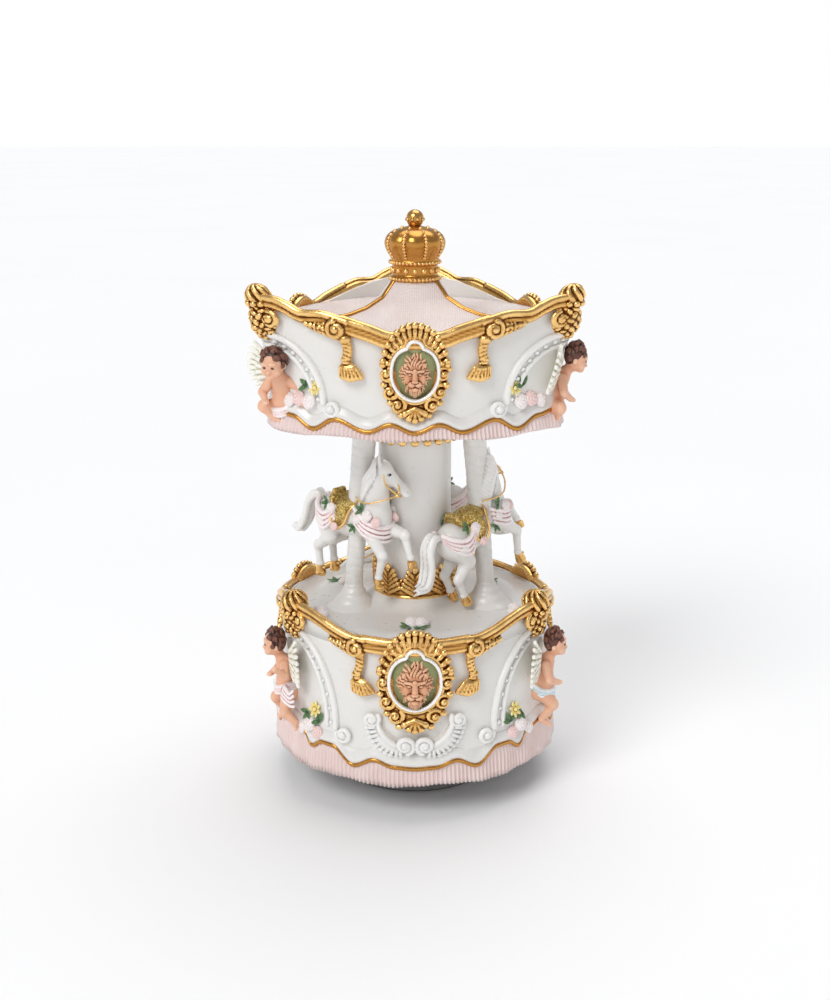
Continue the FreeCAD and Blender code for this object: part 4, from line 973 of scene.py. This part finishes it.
def horse_gold():
    """The saddle's rim, the girth, the bridle and the reins."""
    clay = Clay((-12, -9, -9), (26, 9, 24), 0.25)
    for side in (-1, 1):
        straps = (
            (0.5, [(-9.4, 2.6, 7.6), (-7.4, 5.2, 4.6), (-6.4, 6.6, 0.6), (-3.0, 7.0, -3.2), (0.6, 6.7, -0.4),
                   (1.6, 5.6, 4.0), (3.4, 3.0, 7.4)]),
            (0.33, [(19.6, 2.2, 12.4), (20.2, 2.2, 14.6), (19.4, 1.2, 16.6), (19.3, 0, 17.0)]),
            (0.33, [(14.6, 1.6, 22.2), (14.9, 2.9, 19.2), (15.8, 2.9, 15.6), (19.6, 2.3, 12.6)]),
            (0.3, [(19.4, 2.3, 12.4), (15.2, 4.4, 10.8), (9.6, 5.7, 9.0), (3.8, 3.6, 9.0)]),
        )
        for radius, line in straps:
            clay.path(smooth_line([(x, y * side, z) for x, y, z in line], 4), radius, 0.1)
        clay.egg((19.6, 2.5 * side, 12.5), (0.7, 0.45, 0.7), 0.1)
    clay.path([(19.9, -2.2, 12.2), (20.0, 0, 11.6), (19.9, 2.2, 12.2)], 0.33, 0.1)
    return clay


def horse_drape():
    """Folded cloth over the breast and the flanks."""
    clay = Clay((-18, -9, -8), (16, 9, 9), 0.25)
    for i in range(4):
        rise = -1.7 * i
        line = [
            (4.6, 5.7, 5.6 + rise), (9.4, 6.0, 2.6 + rise), (13.6, 4.0, 1.0 + rise), (15.0, 0, 0.4 + rise),
            (13.6, -4.0, 1.0 + rise), (9.4, -6.0, 2.6 + rise), (4.6, -5.7, 5.6 + rise),
        ]
        clay.path(smooth_line(line, 4), 0.85 - 0.08 * i, 0.1)
        for side in (-1, 1):
            flank = [
                (-4.6, 6.1 * side, 4.0 + 0.8 * rise), (-9.4, 6.7 * side, 0.8 + 1.1 * rise),
                (-14.0, 5.4 * side, 2.2 + 0.9 * rise), (-16.4, 2.2 * side, 4.4 + 0.5 * rise),
            ]
            clay.path(smooth_line(flank, 4), 0.9 - 0.08 * i, 0.1)
    return clay


def rose():
    """A rose with its petals wrapped in a spiral."""
    clay = Clay((-3, -3, -2), (3, 3, 3), 0.14)
    clay.egg((0, 0, 0.2), (1.9, 1.9, 1.2), 0.2)
    rings = ((5, 1.55, 0.95, 0.1), (4, 0.95, 0.75, 0.75), (3, 0.4, 0.5, 1.2))
    for ring, (count, radius, size, rise) in enumerate(rings):
        for i in range(count):
            angle = 2 * math.pi * (i + 0.45 * ring) / count
            spot = (radius * math.cos(angle), radius * math.sin(angle), rise)
            turn = spin("Z", math.degrees(angle)) @ spin("Y", 24.0 + 16.0 * ring)
            clay.egg(spot, (0.34, size, 0.8 * size), 0.05, turn)
    groove = [(0.55 * math.cos(t) * t / 6, 0.55 * math.sin(t) * t / 6, 1.75) for t in np.linspace(0, 9, 22)]
    clay.path(groove, 0.13, 0.04, carve=True)
    return clay


def leaf_spray():
    """Three pointed leaves with a sunk vein."""
    clay = Clay((-4, -4, -1), (4, 4, 2), 0.14)
    for degrees in (-62.0, 0.0, 58.0):
        turn = spin("Z", degrees)
        middle, tip = turn @ np.array([1.5, 0, 0.3]), turn @ np.array([3.3, 0, 0.7])
        clay.egg(middle, (1.7, 0.8, 0.3), 0.1, turn @ spin("Y", -12.0))
        clay.limb(middle, tip, 0.35, 0.12, 0.3)
        clay.limb((0, 0, 0.62), tip + (0, 0, 0.25), 0.14, 0.1, 0.05, carve=True)
    return clay


def daisy():
    clay = Clay((-3, -3, -1), (3, 3, 1.6), 0.14)
    for i in range(7):
        turn = spin("Z", 360.0 * i / 7)
        clay.egg(turn @ np.array([1.3, 0, 0.35]), (1.15, 0.55, 0.3), 0.08, turn @ spin("Y", -14.0))
    clay.egg((0, 0, 0.55), (0.6, 0.6, 0.5), 0.1)
    return clay


FLOWERS = {}


def plant(name, kind, material, spot, out, size=1.0, roll=0.0):
    """Sets a flower at a spot, in millimetres, looking along out; each kind and colour has one mesh."""
    key = (kind.__name__, material.name)
    if key not in FLOWERS:
        FLOWERS[key] = clay_mesh("_".join(key), kind(), material, blur=2)
    place = Matrix.Translation(Vector(spot) * MM) @ Vector(out).to_track_quat("Z", "Y").to_matrix().to_4x4()
    place = place @ Matrix.Rotation(math.radians(roll), 4, "Z") @ Matrix.Scale(size, 4)
    return show(name, FLOWERS[key], place)


def horse_place(angle, ring, course, height, pitch, slide):
    """The matrix that sets a horse, modelled round the middle of its body, on its pole."""
    spot = around(ring - POLE_LEAN * (height - DECK_TOP), math.radians(angle), height)
    place = Matrix.Translation(Vector(spot) * MM) @ Matrix.Rotation(math.radians(course), 4, "Z")
    return place @ Matrix.Rotation(math.radians(pitch), 4, "Y") @ Matrix.Translation((slide * MM, 0.0, 0.0))


def turn_head(points):
    """Turns the horse's head and upper neck toward the column."""
    rise = np.clip((points[:, 2] - 5.0) / 12.0, 0.0, 1.0)
    angle = math.radians(42.0) * rise * np.clip((points[:, 0] - 5.0) / 6.0, 0.0, 1.0)
    x, y = points[:, 0] - 11.0 - 3.2 * rise * (points[:, 0] > 3.0), points[:, 1]
    ahead, aside = x * np.cos(angle) - y * np.sin(angle), x * np.sin(angle) + y * np.cos(angle)
    return np.column_stack([11.0 + ahead, aside, points[:, 2]])


def make_horses():
    eyes = Clay((14, -4, 17), (20, 4, 21), 0.12)
    for side in (-1, 1):
        eyes.egg((17.0, 2.25 * side, 19.2), (0.62, 0.35, 0.5), 0.02)
    parts = {
        "body": (horse_body(), PEARL),
        "hooves": (horse_hooves(), GOLD),
        "saddle": (horse_saddle(), GLITTER),
        "tack": (horse_gold(), GOLD),
        "drape": (horse_drape(), SASH_PINK),
        "eyes": (eyes, BLACK),
    }
    meshes = {label: clay_mesh(f"horse_{label}", *part, turn_head) for label, part in parts.items()}
    posies = (
        (rose, PETAL, (10.6, 6.0, 4.6), 1.0), (rose, PINK_PETAL, (13.6, 4.6, 2.8), 0.95),
        (rose, PETAL, (-5.6, 6.9, 3.6), 1.0), (rose, PINK_PETAL, (-3.4, 7.4, -2.6), 0.8),
        (leaf_spray, LEAF, (8.0, 5.8, 6.2), 0.9), (leaf_spray, LEAF, (-8.2, 6.2, 5.0), 0.9),
        (leaf_spray, LEAF, (4.6, 6.0, -0.6), 0.8), (rose, PETAL, (6.4, 6.4, 2.4), 0.8),
    )
    for k, horse in enumerate(HORSES, start=1):
        place = horse_place(*horse)
        for label, mesh in meshes.items():
            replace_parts(show(f"horse_{k}_{label}", mesh, place), f"horse_{k}")
        for side, mark in ((-1, "r"), (1, "l")):
            for i, (kind, material, (x, y, z), size) in enumerate(posies):
                spot = place @ (Vector((x, y * side, z)) * MM) / MM
                out = place.to_3x3() @ Vector((0.15 * x / 10, side, 0.25))
                plant(f"horse_{k}_posy_{i}_{mark}", kind, material, spot, out, size, 40.0 * i)


# Cherubs


# Hip, knee, ankle and toe of the right leg and the left
KNEELING_LEGS = (
    ((-2.2, -4.8, -2.2), (-3.2, -9.4, -5.6), (-3.4, -5.2, -11.4), (-3.5, -8.6, -13.2)),
    ((2.2, -4.6, -2.2), (5.2, -6.6, -7.8), (7.6, -2.6, -11.2), (9.6, -3.0, -12.6)),
)
FOLDED_LEGS = (
    ((-2.2, -4.8, -1.6), (-6.6, -7.6, -0.6), (-3.0, -7.8, -4.4), (-0.8, -8.6, -4.8)),
    ((2.2, -4.6, -1.6), (7.0, -6.2, -2.0), (9.8, -3.2, -4.2), (11.6, -3.4, -4.8)),
)


def cherub(tier, lean, reach, legs):
    """The meshes of a small winged child facing -Y, leaning forward by some degrees."""
    skin = Clay((-13, -18, -17), (13, 2, 22), 0.27)
    skin.limb((0, -4.2, -1.0), (0.3, -5.2, 8.0), 3.9, 3.3, 1.0)
    skin.egg((0, -5.4, 1.0), (3.7, 3.3, 3.9), 1.5)
    skin.limb((0.2, -5.8, 9.0), (0, -7.4, 12.4), 2.0, 1.9, 1.0)
    skin.egg((0, -8.6, 15.4), (3.75, 4.0, 4.2), 0.6)
    skin.egg((0, -11.2, 12.7), (1.5, 1.3, 1.2), 1.0)
    skin.egg((0, -12.5, 14.3), (0.6, 0.75, 0.6), 0.4)
    for side in (-1, 1):
        skin.egg((1.9 * side, -10.9, 13.8), (1.4, 1.3, 1.3), 0.9)
        skin.egg((1.55 * side, -12.5, 15.7), (0.75, 0.6, 0.5), 0.3, carve=True)
        skin.limb((0.8 * side, -12.2, 16.9), (2.4 * side, -11.6, 16.8), 0.35, 0.25, 0.4)
        skin.egg((2.0 * side, -2.8, -2.2), (2.9, 2.8, 3.0), 1.0)
        skin.egg((3.7 * side, -8.0, 14.8), (0.5, 0.8, 1.0), 0.3)
    skin.limb((-3.4, -5.2, 8.0), (-6.4, -7.2, 4.4), 1.9, 1.5, 0.7)
    skin.limb((-6.4, -7.2, 4.4), (-4.2, -10.4, 3.0), 1.45, 1.05, 0.4)
    skin.egg((-3.6, -11.2, 2.9), (1.1, 1.3, 0.8), 0.4)
    skin.limb((3.4, -5.2, 8.0), (7.0, -5.4, 5.8), 1.9, 1.5, 0.7)
    skin.limb((7.0, -5.4, 5.8), (8.8, -8.4, reach), 1.45, 1.05, 0.4)
    skin.egg((9.2, -9.2, reach + 0.8), (1.0, 1.1, 1.1), 0.4)
    for hip, knee, ankle, toe in legs:
        skin.limb(hip, knee, 2.9, 2.1, 1.0)
        skin.limb(knee, ankle, 1.95, 1.2, 0.6)
        skin.limb(ankle, toe, 1.15, 0.8, 0.5)
    hair = Clay((-7, -14, 9), (7, 0, 22), 0.22)
    hair.egg((0, -7.6, 16.2), (3.95, 4.0, 4.2), 0.3)
    hair.egg((0, -11.4, 13.8), (4.0, 3.0, 3.4), 0.5, carve=True)
    rng = random.Random(3)
    for i in range(46):
        turn, up = rng.uniform(-2.5, 2.5), rng.uniform(-0.35, 1.45)
        across, ahead = math.sin(turn) * math.cos(up), math.cos(turn) * math.cos(up)
        spot = np.array([4.0 * across, -7.9 + 3.9 * ahead, 16.2 + 4.1 * math.sin(up)])
        if spot[1] < -10.6 and spot[2] < 17.6:
            continue
        hair.path(spiral(spot[0], spot[2], 0.95, 1.0, rng.uniform(0, 360), 1, spot[1]), 0.42, 0.12)
        hair.egg(spot, 0.85, 0.2)
    wings = Clay((-15, -5, 0), (15, 1.5, 21), 0.27)
    for side in (-1, 1):
        for count, length, lift in ((8, 1.0, 0.0), (6, 0.68, -0.8)):
            for share in np.linspace(0.0, 1.0, count):
                root = np.array([side * 2.2, -1.9 + lift, 9.5 - 3.0 * share])
                across = side * (4.2 + 7.0 * math.sin(0.5 + 1.8 * share))
                tip = root + length * np.array([across, 1.2, 9.0 - 12.0 * share])
                wings.path([root, (root + tip) / 2 + (0.0, -0.3, 1.2), tip], (0.7, 1.05, 0.75), 0.12)
    sash = Clay((-13, -14, -8), (13, 0, 8), 0.25)
    for i in range(3):
        rise = -0.9 * i
        loop = [
            (4.4 * math.cos(t), -4.6 + 4.6 * math.sin(t), 0.4 + rise + 1.4 * math.sin(t + 0.8))
            for t in np.linspace(0, 2 * math.pi, 25)
        ]
        sash.path(loop, 0.85, 0.1)
    for i in range(4):
        end = smooth_line([
            (3.6, -5.6, 0.2), (6.8, -5.8 - 0.4 * i, 1.6 - 1.2 * i), (9.8, -4.4, 0.4 - 1.4 * i),
            (11.4, -3.0, 2.0 - 1.9 * i),
        ], 4)
        sash.path(end, np.linspace(1.0, 0.5, len(end)), 0.1)
    eyes = Clay((-3, -14, 14), (3, -10, 18), 0.1)
    lips = Clay((-2, -14, 12), (2, -10, 14.5), 0.1)
    for side in (-1, 1):
        eyes.egg((1.5 * side, -12.15, 15.65), (0.55, 0.3, 0.3), 0.02)
        lips.limb((0, -12.3, 13.15), (0.75 * side, -12.15, 13.3), 0.24, 0.12, 0.05)

    def bend(points):
        points = (points - (0.0, -2.0, -4.0)) @ spin("X", lean).T
        return points + (0.0, -2.0, -4.0)

    parts = {
        "skin": (skin, SKIN),
        "hair": (hair, HAIR),
        "wings": (wings, WING),
        "sash": (sash, SASH_BLUE),
        "eyes": (eyes, BLACK),
        "lips": (lips, LIPS),
    }
    return {label: clay_mesh(f"{tier}_cherub_{label}", *part, bend) for label, part in parts.items()}


def make_cherubs():
    tiers = (
        ("base", cherub("base", 3.0, 8.6, KNEELING_LEGS), 39.2, (22.0, 0.0, -22.0)),
        ("canopy", cherub("canopy", 18.0, 2.0, FOLDED_LEGS), 140.9, (28.0, 0.0, 36.0)),
    )
    size = 1.02
    for tier, meshes, height, looks in tiers:
        for k, (angle, look, paint) in enumerate(zip(CORNERS, looks, (SASH_BLUE, PETAL, SASH_PINK)), start=1):
            place = Matrix.Translation(Vector(around(46.6, math.radians(angle), height)) * MM)
            place = place @ Matrix.Rotation(math.radians(angle + look), 4, "Z")
            place = place @ Matrix.Diagonal((size, 0.86 * size, size, 1.0))
            for label, mesh in meshes.items():
                if label == "sash" and k > 1:
                    mesh = mesh.copy()
                    mesh.materials[0] = paint
                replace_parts(show(f"{tier}_cherub_{label}_{k}", mesh, place), f"{tier}_cherubs")


def make_posies():
    """Flowers on the walls beside the cherubs and on the deck."""
    beds = (
        ("base", rose, PETAL, 14.0, 29.0, 1.35), ("base", rose, PINK_PETAL, 18.5, 27.0, 1.15),
        ("base", leaf_spray, LEAF, 19.5, 31.0, 1.1), ("base", daisy, YELLOW, 17.0, 35.0, 1.2),
        ("base", leaf_spray, LEAF, 12.5, 33.0, 1.0), ("base", rose, PETAL, 9.0, 26.5, 1.15),
        ("canopy", rose, PINK_PETAL, 13.0, 142.5, 1.3), ("canopy", rose, PETAL, 17.5, 142.0, 1.35),
        ("canopy", rose, PETAL, 8.5, 141.5, 1.2), ("canopy", leaf_spray, LEAF, 17.0, 147.0, 1.1),
        ("canopy", daisy, YELLOW, 20.5, 146.5, 1.1),
    )
    walls = {"base": base_radius, "canopy": canopy_radius}
    sides = [(corner, side) for corner in CORNERS for side in (-1, 1)]
    flowers = [(corner + side * bed[3], bed) for corner, side in sides for bed in beds]
    for i, (angle, (tier, kind, material, _, z, size)) in enumerate(flowers):
        turn = math.radians(angle)
        out = around(1.0, turn, 0.25)
        spot = around(float(walls[tier](turn, z)) + 0.5, turn, z)
        plant(f"{tier}_flower_{i}", kind, material, spot, out, size, 53.0 * i)
    spots = (
        (-2.2, 29.0), (4.4, 29.4), (-62.0, 38.0), (-56.0, 39.0), (66.0, 38.0), (60.0, 39.5), (120.0, 30.0),
        (240.0, 30.0),
    )
    for i, (angle, ring) in enumerate(spots):
        turn = math.radians(angle)
        spot = around(ring, turn, DECK_TOP + 0.3)
        piece = plant(f"deck_rose_{i}", rose, PETAL, spot, around(0.35, turn, 1.0), 1.25, 70.0 * i)
        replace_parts(piece, "deck_roses")
        spot = (spot[0] * 1.09 - 0.8, spot[1] * 1.09, DECK_TOP - 0.2)
        plant(f"deck_leaf_{i}", leaf_spray, LEAF, spot, (0, 0, 1), 1.1, 25.0 + 90.0 * i)


# Poles, column, roof and crown


def make_poles():
    for k, (angle, ring, *_) in enumerate(HORSES, start=1):
        turn = math.radians(angle)
        levels = np.concatenate([np.linspace(0.0, 8.2, 24), np.linspace(8.4, 71.5, 190)])
        sections = []
        for rise in levels:
            z = DECK_TOP - 0.5 + rise
            if rise < 8.2:
                radius = 3.4 + 5.8 * (1 - (rise / 8.2)) ** 1.7 + 0.15 * math.sin(rise * 2.4)
            else:
                radius = float(np.interp(z, [71.0, 88.0, 96.0, 100.0, 134.0], [3.15, 3.1, 3.6, 4.1, 4.15]))
            middle = around(ring - POLE_LEAN * (z - DECK_TOP), turn, z)
            loop = []
            for t in full_turn(48):
                groove = math.sin(rise * 1.9 + 1.0 * t + 0.5 * math.sin(3 * t + rise))
                r = radius - (0.16 * max(groove, 0.0) ** 3 if rise > 8.2 else 0.0)
                r += 0.08 * math.sin(5 * t + 0.3 * rise)
                loop.append(middle + np.array([r * math.cos(t), r * math.sin(t), 0.0]))
            sections.append(loop)
        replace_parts(turned_ring(f"horse_pole_{k}", sections, PEARL, closed=False), f"pole_{k}")


def make_column_trim():
    clay = Clay((-13.6, -5, 65), (13.6, 1.2, 81), 0.24)
    up = 2.9
    for i in range(-1, 2):
        x = i * 8.87
        clay.limb((x, -0.6, 65.5 + up), (x, -1.6, 74.2 + up), 0.9, 0.6, 0.2)
        for lobe in range(5):
            share = lobe / 4
            for side in (-1, 1):
                tip = (x + side * (4.0 - 2.0 * share), -2.0, 68.0 + 6.0 * share + up)
                clay.limb((x, -1.0, 65.4 + 5.2 * share + up), tip, 1.0, 0.75, 0.12)
        clay.egg((x, -2.0, 74.8 + up), (1.0, 0.9, 1.5), 0.2)
        clay.egg((x + 4.43, -1.2, 68.4 + up), (1.2, 1.0, 2.8), 0.2)
    for height, depth, radius in ((64.2, -0.9, 1.0), (66.0, -0.5, 1.15), (68.2, 0.1, 1.3), (69.6, 0.4, 1.1)):
        clay.limb((-14, depth, height + up), (14, depth, height + up), radius, radius, 0.5)
    thrice("column_leaves", clay, GOLD, on_column, "column_leaf_collar")
    clay = Clay((-13.6, -4, 119), (13.6, 1.2, 133.5), 0.24)
    for i in range(-3, 4):
        x = i * 3.8
        clay.egg((x, -1.0, 125.6), (1.8, 1.2, 3.4), 0.2)
        clay.egg((x, -1.8, 122.8), (1.3, 1.0, 1.2), 0.2)
        clay.egg((x + 1.9, -1.0, 127.6), (0.8, 0.9, 0.8), 0.1)
    clay.limb((-14, -0.8, 129.5), (14, -0.8, 129.5), 1.2, 1.2, 0.3)
    thrice("column_beads", clay, GOLD, on_column, "column_bead_collar")


def make_deck_mound():
    """The deck, which rises smoothly to the column."""
    profile = (
        (45.4, 62.58), (36.0, 62.86), (26.0, 63.13), (22.0, 63.5), (19.0, 64.2), (16.4, 65.6), (14.8, 66.9),
        (12.4, 67.2), (12.4, 62.0), (45.4, 62.0),
    )
    turned_ring("deck_mound", [[around(r, t, z) for r, z in profile] for t in full_turn(96)], PEARL)


def make_parapet():
    """The white wall that stands up behind the base's gilt moulding."""
    heights = wavy_line([(0, 62.6), (20, 63.2), (28, 64.8), (41, 67.8), (60, 68.6)])
    sections = []
    for degrees in range(360):
        top = heights(float(degrees))
        profile = ((45.2, 60.0), (45.4, top), (46.9, top), (47.2, 60.0))
        sections.append([around(r, math.radians(degrees), z) for r, z in profile])
    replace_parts(turned_ring("base_parapet", sections, PEARL), "base_rim")


def make_roof():
    """The roof cloth, sunk between its three ribs, and the gilt ribs."""
    radii = [7.6, 8.9, 12.7, 18.8, 25.2, 33.3, 60.0]
    heights = [177.4, 175.8, 171.0, 167.8, 166.0, 165.2, 164.8]
    thick = (0, 0, 1.6)
    sections = []
    for angle in full_turn(360):
        reach = float(canopy_radius(angle, 163.0)) - 2.1 - 7.4
        valley = (1 + math.cos(3 * angle)) / 2
        cloth = []
        for share in np.linspace(0.0, 1.0, 27):
            radius = 7.4 + reach * share
            dip = 2.6 * valley * math.sin(math.pi * min(1.0, share * 1.1)) ** 0.8
            cloth.append(around(radius, angle, float(np.interp(radius, radii, heights)) - dip))
        sections.append(cloth + [point - thick for point in cloth[::-1]])
    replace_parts(turned_ring("roof_panels", sections, ROOF_PINK), "canopy_roof")
    for k, corner in enumerate(CORNERS, start=1):
        turn = math.radians(corner)
        side = np.array([math.cos(turn), math.sin(turn), 0.0])
        loops = []
        for radius in np.linspace(7.6, 53.5, 46):
            middle = around(radius, turn, float(np.interp(radius, radii, heights)) + 0.1)
            loop = [middle + 1.15 * math.cos(t) * side + (0, 0, 0.9 * math.sin(t)) for t in full_turn(16)]
            loops.append(loop[::-1])
        turned_ring(f"roof_rib_{k}", loops, GOLD, closed=False)


def make_crown():
    profile = [
        (7.2, 176.0), (8.3, 176.3), (8.7, 177.2), (8.2, 178.0), (7.7, 178.6), (7.6, 181.2), (8.0, 181.9),
        (8.5, 182.6), (8.2, 183.4), (8.6, 184.6), (9.7, 186.4), (10.3, 188.4), (10.1, 190.2), (9.0, 191.9),
        (7.0, 193.2), (4.4, 194.0), (2.6, 194.4), (1.6, 194.7), (1.3, 195.6),
    ]
    lobes = 8
    sections = []
    for radius, _, z in smooth_line([(r, 0, z) for r, z in profile], 4):
        puff = np.interp(z, [183.0, 186.0, 192.0, 194.2], [0.0, 1.0, 1.0, 0.0])
        loop = []
        for t in full_turn(192):
            swell = abs(math.cos(lobes * t / 2)) ** 0.7
            loop.append(around(radius * (1 - 0.10 * puff * (1 - swell)), t, z))
        sections.append(loop[::-1])
    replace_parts(turned_ring("crown_body", sections, GOLD, closed=False), "crown")
    radii, heights = zip(*profile)
    beads = Clay((-11, -11, 175.5), (11, 11, 196), 0.2)
    for turn in full_turn(lobes):
        for z in np.arange(184.4, 194.0, 1.05):
            radius = float(np.interp(z, heights, radii)) * 0.955
            beads.egg(around(radius, turn + math.pi / lobes, z), 0.62, 0.05)
        for half in (0.0, math.pi / lobes):
            beads.egg(around(7.8, turn + half, 179.9), (0.85, 0.85, 1.0), 0.1)
    for turn in full_turn(40):
        beads.egg(around(8.5, turn, 182.6), 0.6, 0.05)
        beads.egg(around(8.6, turn, 177.2), 0.6, 0.05)
    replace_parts(clay_piece("crown_beads", beads, GOLD), "crown")
    ball = Clay((-4, -4, 193.6), (4, 4, 200.4), 0.16)
    ball.egg((0, 0, 196.9), 3.0, 0.2)
    for t in full_turn(10):
        rib = [(radius * math.cos(t), radius * math.sin(t), z) for radius, z in ((0.8, 199.5), (2.9, 196.6))]
        ball.path(rib, (0.3, 0.5), 0.1)
    ball.limb((0, 0, 194.2), (0, 0, 195.0), 1.9, 1.5, 0.3)
    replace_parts(clay_piece("crown_knob", ball, GOLD), "crown_ball")


make_gilt()
make_relief()
make_lions()
make_horses()
make_cherubs()
make_posies()
make_poles()
make_column_trim()
make_deck_mound()
make_parapet()
make_roof()
make_crown()


# Studio


def soft_sun(name, azimuth, elevation, strength, spread):
    """A wide soft light from far away, so that the floor is evenly white."""
    light = bpy.data.lights.new(name, "SUN")
    light.energy = strength
    light.angle = math.radians(spread)
    obj = bpy.data.objects.new(name, light)
    obj.rotation_euler = (math.radians(90.0 - elevation), 0.0, math.radians(azimuth))
    bpy.context.scene.collection.objects.link(obj)


def make_studio():
    finish = Finish("pale_floor")
    finish.colour(finish.ramp(finish.noise(3.0), [(0.3, (0.93, 0.93, 0.93)), (0.7, (0.95, 0.95, 0.95))]))
    finish.set(Roughness=0.8)
    mesh = bpy.data.meshes.new("floor")
    mesh.from_pydata([(-9, -9, 0), (9, -9, 0), (9, 9, 0), (-9, 9, 0)], [], [(0, 1, 2, 3)])
    mesh.materials.append(finish.material)
    floor = bpy.data.objects.new("floor", mesh)
    bpy.context.scene.collection.objects.link(floor)
    world = bpy.data.worlds.new("studio")
    world.use_nodes = True
    nodes, links = world.node_tree.nodes, world.node_tree.links
    place = nodes.new("ShaderNodeTexCoord")
    split = nodes.new("ShaderNodeSeparateXYZ")
    ramp = nodes.new("ShaderNodeValToRGB")
    ramp.color_ramp.elements[0].position = 0.10
    ramp.color_ramp.elements[0].color = (1.0, 1.0, 1.0, 1.0)
    ramp.color_ramp.elements[1].position = 0.35
    ramp.color_ramp.elements[1].color = (0.34, 0.345, 0.36, 1.0)
    links.new(place.outputs["Generated"], split.inputs[0])
    links.new(split.outputs["Z"], ramp.inputs["Fac"])
    links.new(ramp.outputs["Color"], nodes["Background"].inputs["Color"])
    nodes["Background"].inputs["Strength"].default_value = 1.0
    bpy.context.scene.world = world
    soft_sun("top", 160.0, 72.0, 1.35, 50.0)
    soft_sun("key", -35.0, 42.0, 1.25, 28.0)
    camera = bpy.data.cameras.new("camera")
    camera.sensor_fit = "VERTICAL"
    camera.sensor_height = 36.0
    camera.lens = 51.0
    camera.clip_start = 0.01
    obj = bpy.data.objects.new("camera", camera)
    obj.location = (0.0, -0.483, 0.232)
    obj.rotation_euler = (math.radians(90.0 - 15.4), 0.0, 0.0)
    bpy.context.scene.collection.objects.link(obj)
    bpy.context.scene.camera = obj
    bpy.context.scene.view_settings.view_transform = "Standard"


make_studio()
